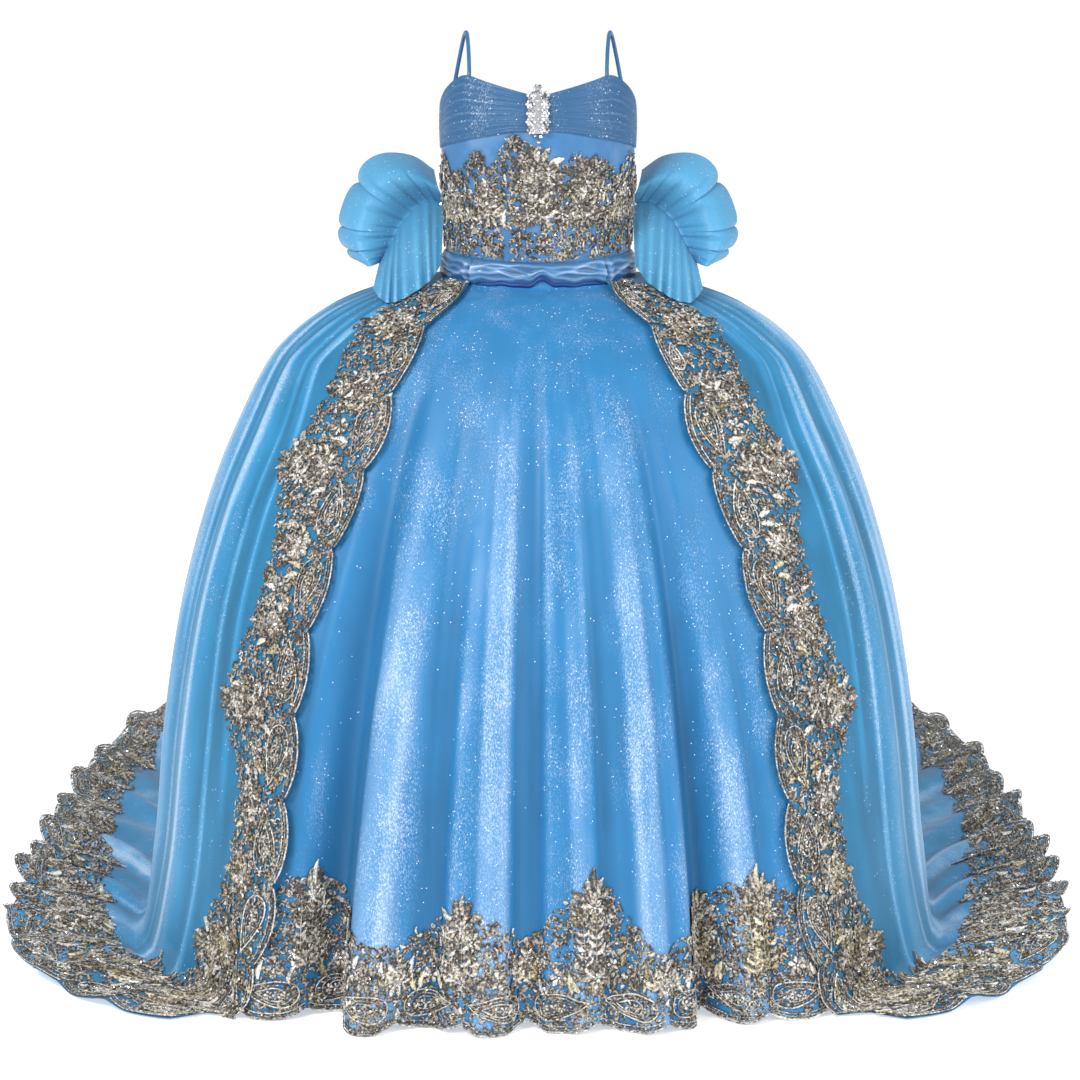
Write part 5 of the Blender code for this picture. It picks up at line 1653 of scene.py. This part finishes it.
def on_bodice(name, degrees, heights, outer_lift, inner_lift, material, crest=None, closed=False):
    """Cloth between two lifts off the bodice's face, and its outer grid."""
    grid = bodice_points(degrees, heights)
    normals = body_normals(grid)
    outer = grid + normals * np.broadcast_to(outer_lift, heights.shape)[:, :, None]
    return cloth_piece(name, outer, grid + normals * inner_lift, material, crest, closed), outer


# Pieces


def settle(piece, nodes):
    """Tie a piece to its nodes and to the gown's body."""
    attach(piece, "root")
    if nodes:
        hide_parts(*nodes)
    return piece


def declare(grid):
    """Work out the flat size and area of a piece's grid; nothing is kept of them."""
    flat, area = sized(grid)


def nodes_of(start, end=""):
    """Nodes of the frame by the start and the end of their names."""
    return [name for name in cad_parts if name.startswith(start) and name.endswith(end)]


def make_underskirt():
    """Underskirt with its folds, and the lace round its hem."""
    cloth, lace = bpy.context.scene.gown_cloth, bpy.context.scene.gown_lace
    surface, crest = underskirt_surface()
    band = hem_band(surface, lace.repeat)
    outer = surface.points.copy()
    rise = scallop(run_length(surface.points[-1]), band.repeat) + CLOTH_INSET
    outer[:, :, 2] += rise * np.clip(1 - (outer[:, :, 2] + FLOOR_DROP) / HEM_FOLLOWS, 0.0, 1.0)
    inner = outer - surface.normals * cloth.wall
    inner[-1, :, 2] = outer[-1, :, 2]
    skirt = cloth_piece("underskirt", outer, inner, glitter_finish("glitter_tulle", cloth.tulle), crest, True)
    settle(skirt, nodes_of("underskirt_"))

    def reach(along):
        return reach_at(along, HEM_REACH, band.repeat)

    def plan(start):
        seen = abs(start + band.repeat / 2 - band.length / 2) < HEM_SEEN
        return 1.0, 1.0, 1.0, int(lace.fill * (1.2 if seen else 0.5))

    work = Needlework(lace.seed)
    pieces = edge_lace("hem_lace", nodes_of("hem_lace_"), band, work, reach, plan)
    declare(outer)


def make_overskirt():
    """Both sides of the overskirt with their front trims and train lace."""
    cloth = bpy.context.scene.gown_cloth
    material = glitter_finish("sheer_organza", cloth.sheer, 1.20, cloth.opacity, 1.40)
    for word, side in SIDES:
        surface, crest = overskirt_surface(side)
        repeat = bpy.context.scene.gown_lace.repeat
        trim, train = trim_band(surface, side, repeat), train_band(surface, side, repeat)
        outer, inner = overskirt_walls(surface, side, trim, train, cloth.wall)
        skirt = cloth_piece("overskirt_" + word, outer, inner, material, crest)
        settle(skirt, nodes_of("overskirt_", word))
        pieces = trim_lace(word, side, trim) + train_lace(word, side, train)
        declare(outer)


def trim_lace(word, side, band):
    """Lace down one front edge, narrow at the waist."""
    lace = bpy.context.scene.gown_lace

    def reach(along):
        return reach_at(along, TRIM_REACH, band.repeat) * np.clip(0.50 + np.asarray(along) / 0.22, 0.0, 1.0)

    def plan(start):
        size = float(np.clip(0.55 + start / 0.30, 0.0, 1.0))
        return size, size, size, int(lace.fill * 1.1)

    # The trims' lace carries painted shade.
    work = Needlework(lace.seed + 20 + side, 0.06)
    return edge_lace("front_trim_" + word, ["front_trim_" + word], band, work, reach, plan)


def train_lace(word, side, band):
    """Lace round one side of the train, finest where the front shows it."""
    lace = bpy.context.scene.gown_lace

    def reach(along):
        return reach_at(along, TRAIN_REACH, band.repeat)

    def plan(start):
        return 1.1, 1.2, 1.15, int(lace.fill * (1.3 if start < TRAIN_SEEN else 0.6))

    work = Needlework(lace.seed + 40 + side)
    return edge_lace("train_lace_" + word, ["train_lace_" + word], band, work, reach, plan)


def overskirt_walls(surface, side, trim, train, wall):
    """Outer and inner grids of one side, drawn in behind the scallops of its lace."""
    down = run_length(surface.points[:, front_column(side)])
    down = np.maximum(down - np.interp(TRIM_ROWS[0], surface.rows, down), 0.0)
    trim_in = (scallop(down, trim.repeat) + CLOTH_INSET) * EDGE_STRIPS / TRIM_WIDTH
    train_in = scallop(run_length(surface.points[-1, ::side]), train.repeat)[::side] + CLOTH_INSET
    steps = np.abs(surface.columns)
    columns = side * (steps + trim_in[:, None] * np.clip(1 - steps, 0.0, 1.0))
    up = np.clip(1 - (surface.rows[-1] - surface.rows), 0.0, 1.0)[:, None]
    rows = surface.rows[:, None] - train_in / TRAIN_ROW_LENGTH * up
    outer, normals = surface.at(rows, columns)
    inner = outer - normals * wall
    inner[:, :, 2] = np.maximum(inner[:, :, 2], -FLOOR_DROP)
    outer[:, :, 2] = np.maximum(outer[:, :, 2], inner[:, :, 2] + 0.0004)
    return outer, inner


def make_bodice():
    """Bodice, its gathered bust, its lace, its straps and its plain back closure."""
    cloth = bpy.context.scene.gown_cloth
    degrees, share, heights = between(-180.0, 180.0, "bodice", neckline, bodice_hem)
    rolled = NECK_ROLL * np.exp(-((share * GRIDS["bodice"][1]) ** 2) / 2)
    satin = satin_finish("bodice_satin", cloth.satin, 0.38)
    body, _ = on_bodice("bodice", degrees, heights, rolled, -BODICE_WALL, satin, None, True)
    settle(body, nodes_of("bodice_front") + nodes_of("bodice_back_"))
    parts = [overlay_piece(word, side) for word, side in SIDES] + bodice_lace() + [closure_piece()]
    declare(bodice_points(degrees, heights))
    for word, side in SIDES:
        strap_piece(word, side)


def bodice_lace():
    """Dense lace round the bodice, with its main flowers placed one by one."""
    lace = bpy.context.scene.gown_lace
    cord = lace.cord * 0.85
    turn = np.linspace(-180.0, 180.0, int(2 * math.pi * BODICE_RADIUS / BAND_STEP) + 1)
    heights = bodice_hem(turn)[:, None] + np.arange(BAND_FIRST, 0.185, BAND_STEP)
    points = bodice_points(np.broadcast_to(turn[:, None], heights.shape), heights)
    band = Band(points, body_normals(points), BODICE_REPEAT)
    stations = np.arange(len(turn)) * BAND_STEP
    tops = np.minimum(read_table(LACE_TOP, turn), overlay_edge(turn) - 0.001) - bodice_hem(turn)

    def reach(along):
        return np.interp(along, stations, tops) + 0.004

    def low(along):
        return 0.002 + 0.0015 * np.sin(np.asarray(along) * 310.0)

    # The bodice's lace carries more painted shade.
    work = Needlework(lace.seed + 60, 0.11)
    for start, flip in band.repeats():
        draw_flowers(work, band, start, flip, reach, 0.9)
        fill_band(work, band, start, reach, int(lace.fill * 1.35), cord, 0.85)
        for _ in range(LOOSE_STITCHES):
            along = start + work.chance.uniform(0.0, band.repeat)
            foot = np.array((along, work.chance.uniform(0.0, 0.7) * float(reach(along))))
            tip = foot + (work.chance.normal(0.0, LOOSE_SPREAD), work.chance.uniform(*LOOSE_REACH))
            work.leaf(foot, tip, LOOSE_WIDTH, work.tone_near(0.52), gold_patch(*foot))
    work.rise = LEAF_CROWN
    for flower in as_dicts(BUST_FLOWER_COLUMNS, BUST_FLOWERS):
        place = np.array(((flower["angle"] + 180.0) / 360.0 * band.length, flower["height"]))
        work.flower(place, flower["radius"], flower["petals"], flower["tone"])
        work.flower(place, flower["radius"] * 0.55, 6, flower["tone"] + 0.18)
    return lace_pieces("bodice_lace", nodes_of("bodice_lace_"), band, work, reach, BODICE_LACE_LIFT, low)


def overlay_piece(word, side):
    """Gathered tulle over one side of the bust, drawn in at the middle."""
    cloth = bpy.context.scene.gown_cloth
    first, last = sorted(side * angle for angle in OVERLAY_SIDES)
    degrees, share, heights = between(first, last, "bust", neckline, overlay_edge)
    away = np.abs(degrees) / 90.0
    ridges = np.zeros(degrees.shape)
    for fold in as_dicts(BUST_FOLD_COLUMNS, BUST_FOLDS):
        middle = fold["share"] + fold["sway"] * np.sin(3.0 * away)
        ridges += fold["depth"] * swell(share - middle, fold["half_width"] * (0.7 + 0.6 * away))
    ridges *= 0.75 * np.sin(math.pi * (0.20 + 0.70 * away))
    edge = np.clip((1.0 - share) / OVERLAY_EDGE, 0.0, 1.0)
    lift = OVERLAY_FULL + edge * (OVERLAY_LIFT + ridges)
    # Painted highlight on the bust's gathered ridges and painted shade between them.
    crest = np.clip(0.42 + 0.22 * ridges / BUST_DEEPEST, 0.0, 1.0)
    material = glitter_finish("bust_tulle", shade(cloth.satin, 0.66), 1.1, 1.0, 0.9, (0.10, 0.10, 1.0))
    piece, _ = on_bodice("bust_gathers_" + word, degrees, heights, lift, OVERLAY_LIFT, material, crest)
    return settle(piece, ["bust_overlay_" + word])


def closure_piece():
    """Plain covered closing down the centre back."""
    def foot(degrees):
        return bodice_hem(degrees) + 0.0005

    degrees, _, heights = between(*CLOSURE, "closure", neckline, foot)
    lift = CLOSURE_LIFT + CLOSURE_CROWN * np.sin(math.pi * (degrees - CLOSURE[0]) / (CLOSURE[1] - CLOSURE[0]))
    material = satin_finish("closure_satin", shade(bpy.context.scene.gown_cloth.satin, 0.85))
    return settle(on_bodice("back_closure", degrees, heights, lift, 0.0, material)[0], [])


def strap_piece(word, side):
    """Rolled strap over one shoulder."""
    def seat(angle, rise):
        place = np.array([side * angle])
        point = bodice_points(place, neckline(place) + rise)
        return (point - body_normals(point) * STRAP_INSET)[0]

    mirror = np.array((side, 1.0, 1.0))
    over = [(np.array(place) - (0.0, 0.0, FLOOR_DROP)) * mirror for place in STRAP_TOP]
    front, back = STRAP_SEATS
    route = (seat(front, -STRAP_SUNK), seat(front, STRAP_LEAVES), *over,
             seat(back, STRAP_LEAVES), seat(back, -STRAP_SUNK))
    curve = bpy.data.curves.new("strap_" + word, "CURVE")
    curve.dimensions = "3D"
    spline = curve.splines.new("POLY")
    shares = np.linspace(0.0, 1.0, 61)
    spline.points.add(len(shares) - 1)
    for point, place in zip(spline.points, through(route, shares)):
        point.co = (*place, 1.0)
    curve.bevel_depth = STRAP_RADIUS
    curve.bevel_resolution = 3
    curve.use_fill_caps = True
    curve.materials.append(satin_finish("strap_satin", shade(bpy.context.scene.gown_cloth.satin, 1.4)))
    piece = bpy.data.objects.new("rolled_strap_" + word, curve)
    bpy.context.scene.collection.objects.link(piece)
    return settle(piece, ["strap_" + word])


def band_low(degrees):
    """Height of the waistband's lower edge: a notch at the front, dips at the knots and a wave."""
    wave = 0.0009 * np.sin(np.radians(degrees) * 13.0) + 0.0006 * np.sin(np.radians(degrees) * 29.0)
    return WAISTBAND_LOW + wave + 0.0075 * swell(degrees - 2.0, 8.0) - 0.0045 * at_knots(degrees, 8.0)


def shadow_strip_low(degrees):
    """Height of the lower edge of the dark strip that paints the shadow line under the band."""
    return band_low(degrees) - SHADOW_STRIP_HEIGHT


def band_top(degrees):
    """Height of the waistband's upper edge."""
    return bodice_hem(degrees) - 0.0006


def at_knots(degrees, half_width):
    """Ridge over each of the band's tied knots."""
    return sum(swell(turned(degrees, angle), half_width) for angle in KNOTS)


def make_waist():
    """Gathered satin band with its two tied lobes, painted highlights on its folds and lobes and painted
    shade at its ties, and the dark strip under it that paints the shadow line below the band.
    """
    cloth = bpy.context.scene.gown_cloth
    degrees, share, heights = between(-180.0, 180.0, "waistband", band_top, band_low)
    yoke = YOKE_HALF_WIDTH - YOKE_TAPER * (heights - YOKE_FOOT) + BAND_GAP
    lobe, tie = at_knots(degrees, KNOT_HALF_TURN), at_knots(degrees, TIE_HALF_TURN)
    turn = np.radians(degrees)
    folds = np.zeros(heights.shape)
    for fold in as_dicts(WAIST_FOLD_COLUMNS, WAIST_FOLDS):
        sway = np.sin(turn * 7.0 + fold["phase"]) + 0.6 * np.sin(turn * 17.0 + 2 * fold["phase"])
        folds += fold["depth"] * swell(share - fold["share"] - fold["sway"] * sway, fold["half_width"])
    bulge = np.sin(math.pi * share) ** 0.6
    shell = BAND_SKIN + (BAND_FULL + folds + KNOT_FULL * lobe - TIE_DEPTH * tie) * bulge
    outer, inner = yoke_points(degrees, yoke + shell, heights), yoke_points(degrees, yoke, heights)
    # Painted highlight on the band's folds and knots, and painted shade where the ties cut in.
    crest = np.clip(folds / BAND_DEEPEST + 0.35 * lobe - 0.3 * tie, 0.0, 1.0)
    material = satin_finish("pale_satin", cloth.band, 0.24)
    band = cloth_piece("gathered_waistband", outer, inner, material, crest, True)
    settle(band, ["satin_waistband"])

    # Dark navy strip that paints the shadow line under the band.
    degrees, share, heights = between(-180.0, 180.0, "shadow_strip", band_low, shadow_strip_low)
    reach = YOKE_HALF_WIDTH + SHADOW_STRIP_FLAT + SHADOW_STRIP_ROUND * np.sin(math.pi * (0.1 + 0.8 * share))
    inside = yoke_points(degrees, 0 * share + YOKE_HALF_WIDTH, heights)
    navy = satin_finish("navy_satin", cloth.shadow_strip, 0.5, 0.02)
    shadow_strip = cloth_piece("waist_piping", yoke_points(degrees, reach, heights), inside, navy, None, True)
    settle(shadow_strip, [])
    declare(outer)


def bow_fan(side):
    """Grid and crests of one fan: petals that open from a gathered seam."""
    columns, rows = GRIDS["fan"]
    share = np.linspace(0.0, 1.0, columns)
    out = np.linspace(-0.03, 1.0, rows)[:, None]
    outer_half = np.maximum(out, 0.0)
    reach, layer = np.ones_like(share), np.zeros_like(share)
    for notch in as_dicts(NOTCH_COLUMNS, NOTCHES):
        gap = share - notch["share"]
        reach -= notch["depth"] * np.exp(-np.abs(gap) / NOTCH_SHARP)
        layer += np.where(gap > 0, np.exp(-gap / LAP_OVER), -np.exp(gap / LAP_UNDER)) * notch["depth"]
    folds = np.zeros((len(out), len(share)))
    for fold in as_dicts(FAN_FOLD_COLUMNS, FAN_FOLDS):
        fading = np.clip((fold["end"] - out) / fold["end"], 0.0, 1.0) * (0.4 + 2.0 * outer_half)
        ridge = swell(share - fold["share"] - fold["lean"] * out, fold["half_width"])
        folds += fold["depth"] * fading * ridge
    seam = np.exp(-((out / SEAM_WIDTH) ** 2))
    belly = -FAN_BELLY * np.sin(math.pi * outer_half**1.2) + FAN_LIP * out**4
    ahead = belly + folds + LAP_DEPTH * layer * outer_half**1.5 - SEAM_DEPTH * seam
    place = out * (1 - (1 - reach) * outer_half**3)
    fan = mix_to(through(BOW_SPINE, share), through(BOW_EDGE, share), place[:, :, None])
    fan[:, :, 1] += ahead
    # Painted shade in the fan's folds and where a petal lies back under the next, painted highlight on the
    # seam.
    crest = 0.60 - 0.55 * folds / FAN_DEEPEST - 2.0 * layer * outer_half**2 + 0.35 * seam
    return place_bow(fan, side), crest


def bow_tail(side):
    """Grid and crests of one tail, which falls in pleats from the seam."""
    columns, rows = GRIDS["tail"]
    share = np.linspace(0.0, 1.0, columns)
    down = np.linspace(0.0, 1.0, rows)[:, None]
    waves = np.sin(2 * math.pi * TAIL_PLEATS * share + 0.9 * np.sin(2 * math.pi * 1.7 * share + side))
    waves = waves * (0.75 + 0.25 * np.sin(2 * math.pi * 2.3 * share + 2 * side))
    ends = np.minimum(1.0, np.minimum(6 * share, 6 * (1 - share)))
    fall = (TAIL_PLEAT + TAIL_PLEAT_GAIN * down) * ends * waves
    head = through(BOW_SPINE, share) + TAIL_HEAD
    tail = mix_to(head, through(TAIL_EDGE, share), down[:, :, None])
    tail[:, :, 1] += fall - TAIL_BELLY * np.sin(math.pi * down**0.8)
    # Its crest paints shade in the pleats' troughs and a highlight on their ridges.
    return place_bow(tail, side), 0.45 - 0.5 * fall / (TAIL_PLEAT + TAIL_PLEAT_GAIN)


def place_bow(grid, side):
    """Grid given above the floor for the right side, set at its own side and from the waist."""
    return (grid - (0.0, 0.0, FLOOR_DROP)) * (side, 1.0, 1.0)


def make_bow():
    """Fans and tails at the sides, and the band across the back with its knot."""
    cloth = bpy.context.scene.gown_cloth
    material = glitter_finish("bow_organza", cloth.bow, 0.25, 0.90, 0.55)
    for word, side in SIDES:
        for name, make, step in (("bow_fan_", bow_fan, -side), ("bow_tail_", bow_tail, side)):
            grid, crest = make(side)
            grid, crest = grid[:, ::step], np.clip(crest[:, ::step], 0.0, 1.0)
            half = normals_of(grid) * cloth.wall / 2
            piece = cloth_piece(name + "pleats_" + word, grid + half, grid - half, material, crest)
            settle(piece, [name + word])
            declare(grid)
    top, foot = flat_edge(BACK_BAND_TOP), flat_edge(BACK_BAND_FOOT)
    degrees, share, heights = between(*BACK_BAND, "back_band", top, foot)
    sway = 0.12 * np.sin(np.radians(degrees) * 6)
    folds = 0.5 + 0.5 * np.sin(2 * math.pi * (BACK_FOLDS * share + sway))
    full = BACK_BAND_FULL + BACK_KNOT_FULL * swell(turned(degrees, 180.0), BACK_KNOT_HALF_TURN)
    bulge = np.sin(math.pi * share) ** 0.7
    raised = BACK_BAND_GAP + BACK_BAND_SKIN + BACK_BAND_FOLD * folds + full * bulge
    # Its folds also serve as crest: painted shade in their troughs and painted highlight on their ridges.
    band, outer = on_bodice("bow_back_band", degrees, heights, raised, BACK_BAND_GAP, material, folds)
    settle(band, ["bow_band"])
    declare(outer)


def make_brooch():
    """Rows of stone flowers on the middle of the bust, with a few stones below."""
    places = []
    for row in as_dicts(BROOCH_COLUMNS, BROOCH_ROWS):
        for middle in ((-row["aside"], row["aside"]) if row["aside"] else (0.0,)):
            places.append((middle, row["height"], *FLOWER_MIDDLE))
            for petal in np.arange(6) * math.pi / 3:
                across, rise = heading(petal) * PETAL_REACH
                places.append((middle + across, row["height"] + rise, *FLOWER_PETAL))
    places += BROOCH_DROPS
    angle, height, lift, size = np.array(places).T
    points = bodice_points(angle, height)
    points = points + body_normals(points) * lift[:, None]
    stones = stones_piece("brooch_stones", points, size, stone_finish())
    settle(stones, ["brooch"])
    top, foot = flat_edge(PLATE_TOP), flat_edge(PLATE_FOOT)
    degrees, _, heights = between(-PLATE_HALF_TURN, PLATE_HALF_TURN, "plate", top, foot)
    silver = Finish("silver_setting", Roughness=0.28, Metallic=1.0, Base_Color=PLATE_SILVER).material
    settle(on_bodice("brooch_plate", degrees, heights, PLATE_FACE, PLATE_BACK, silver)[0], [])


def make_stage():
    """White studio: camera, floor, surround and two soft lights."""
    stage = bpy.context.scene.gown_stage
    scene = bpy.context.scene
    camera = bpy.data.objects.new("camera", bpy.data.cameras.new("camera"))
    scene.collection.objects.link(camera)
    camera.data.lens = stage.lens
    camera.data.sensor_width = SENSOR_WIDTH
    camera.data.shift_x = CAMERA_SHIFT
    camera.location = (0.0, -stage.distance, stage.height)
    camera.rotation_euler = (math.pi / 2 - stage.pitch, 0.0, 0.0)
    scene.camera = camera
    world = bpy.data.worlds.new("studio")
    world.use_nodes = True
    tree = world.node_tree
    surround = tree.nodes["Background"]
    surround.inputs["Color"].default_value = (1.0, 1.0, 1.0, 1.0)
    seen = Socket(tree, tree.nodes.new("ShaderNodeLightPath").outputs["Is Camera Ray"])
    strength = seen.step(0.0, 1.0, stage.world, 1.0)
    tree.links.new(strength.source, surround.inputs["Strength"])
    scene.world = world
    scene.view_settings.view_transform = "Standard"
    white = Finish("floor_white", Base_Color=(0.88, 0.88, 0.88, 1.0), Roughness=0.9,
                   Emission_Color=(1.0, 1.0, 1.0, 1.0), Emission_Strength=stage.glow).material
    corners = np.array(((-1, -1, 0), (1, -1, 0), (1, 1, 0), (-1, 1, 0))) * FLOOR_HALF
    floor = new_piece("floor", corners - (0.0, 0.0, FLOOR_DROP + FLOOR_CLEARANCE), [(0, 1, 2, 3)], white)
    for name, place, size in LIGHTS:
        lamp = bpy.data.lights.new(name, "AREA")
        lamp.size = size
        lamp.energy = getattr(stage, name)
        light = bpy.data.objects.new(name, lamp)
        scene.collection.objects.link(light)
        light.location = place
        aim = np.array(LIGHT_AIM) - place
        flat = math.hypot(aim[0], aim[1])
        light.rotation_euler = (math.atan2(flat, -aim[2]), 0.0, math.atan2(aim[1], aim[0]) - math.pi / 2)


# Add-on


class GOWN_OT_stage(bpy.types.Operator):
    """Set up the camera, the floor and the light"""

    bl_idname = "gown.stage"
    bl_label = "Stage"

    def execute(self, context):
        make_stage()
        return {"FINISHED"}


class GOWN_OT_underskirt(bpy.types.Operator):
    """Make the underskirt and its hem lace"""

    bl_idname = "gown.underskirt"
    bl_label = "Underskirt"

    def execute(self, context):
        make_underskirt()
        return {"FINISHED"}


class GOWN_OT_overskirt(bpy.types.Operator):
    """Make both sides of the overskirt and their lace"""

    bl_idname = "gown.overskirt"
    bl_label = "Overskirt"

    def execute(self, context):
        make_overskirt()
        return {"FINISHED"}


class GOWN_OT_bodice(bpy.types.Operator):
    """Make the bodice with its bust overlay, lace and straps"""

    bl_idname = "gown.bodice"
    bl_label = "Bodice"

    def execute(self, context):
        make_bodice()
        return {"FINISHED"}


class GOWN_OT_waist(bpy.types.Operator):
    """Make the satin waistband and its piping"""

    bl_idname = "gown.waist"
    bl_label = "Waistband"

    def execute(self, context):
        make_waist()
        return {"FINISHED"}


class GOWN_OT_bow(bpy.types.Operator):
    """Make the bow's fans, tails and band"""

    bl_idname = "gown.bow"
    bl_label = "Bow"

    def execute(self, context):
        make_bow()
        return {"FINISHED"}


class GOWN_OT_brooch(bpy.types.Operator):
    """Make the stone brooch"""

    bl_idname = "gown.brooch"
    bl_label = "Brooch"

    def execute(self, context):
        make_brooch()
        return {"FINISHED"}


STEPS = ("stage", "underskirt", "overskirt", "bodice", "waist", "bow", "brooch")


class GOWN_PT_panel(bpy.types.Panel):
    """Sidebar panel of the gown"""

    bl_idname = "GOWN_PT_panel"
    bl_label = "Gown"
    bl_space_type = "VIEW_3D"
    bl_region_type = "UI"
    bl_category = "Gown"

    def draw(self, context):
        scene = context.scene
        for settings in (scene.gown_stage, scene.gown_cloth, scene.gown_lace):
            box = self.layout.box()
            for name in settings.__annotations__:
                box.prop(settings, name)
        for step in STEPS:
            self.layout.operator("gown." + step)


CLASSES = (
    GownStage, GownCloth, GownLace,
    GOWN_OT_stage, GOWN_OT_underskirt, GOWN_OT_overskirt, GOWN_OT_bodice, GOWN_OT_waist, GOWN_OT_bow,
    GOWN_OT_brooch, GOWN_PT_panel,
)


def register():
    """Add the settings, operators and panel."""
    for item in CLASSES:
        bpy.utils.register_class(item)
    bpy.types.Scene.gown_stage = PointerProperty(type=GownStage)
    bpy.types.Scene.gown_cloth = PointerProperty(type=GownCloth)
    bpy.types.Scene.gown_lace = PointerProperty(type=GownLace)


def unregister():
    """Take the settings, operators and panel away."""
    del bpy.types.Scene.gown_lace
    del bpy.types.Scene.gown_cloth
    del bpy.types.Scene.gown_stage
    for item in reversed(CLASSES):
        bpy.utils.unregister_class(item)


def main():
    """Build everything in order."""
    register()
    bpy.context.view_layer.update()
    for step in STEPS:
        getattr(bpy.ops.gown, step)()
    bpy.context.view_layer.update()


if __name__ == "__main__":
    main()
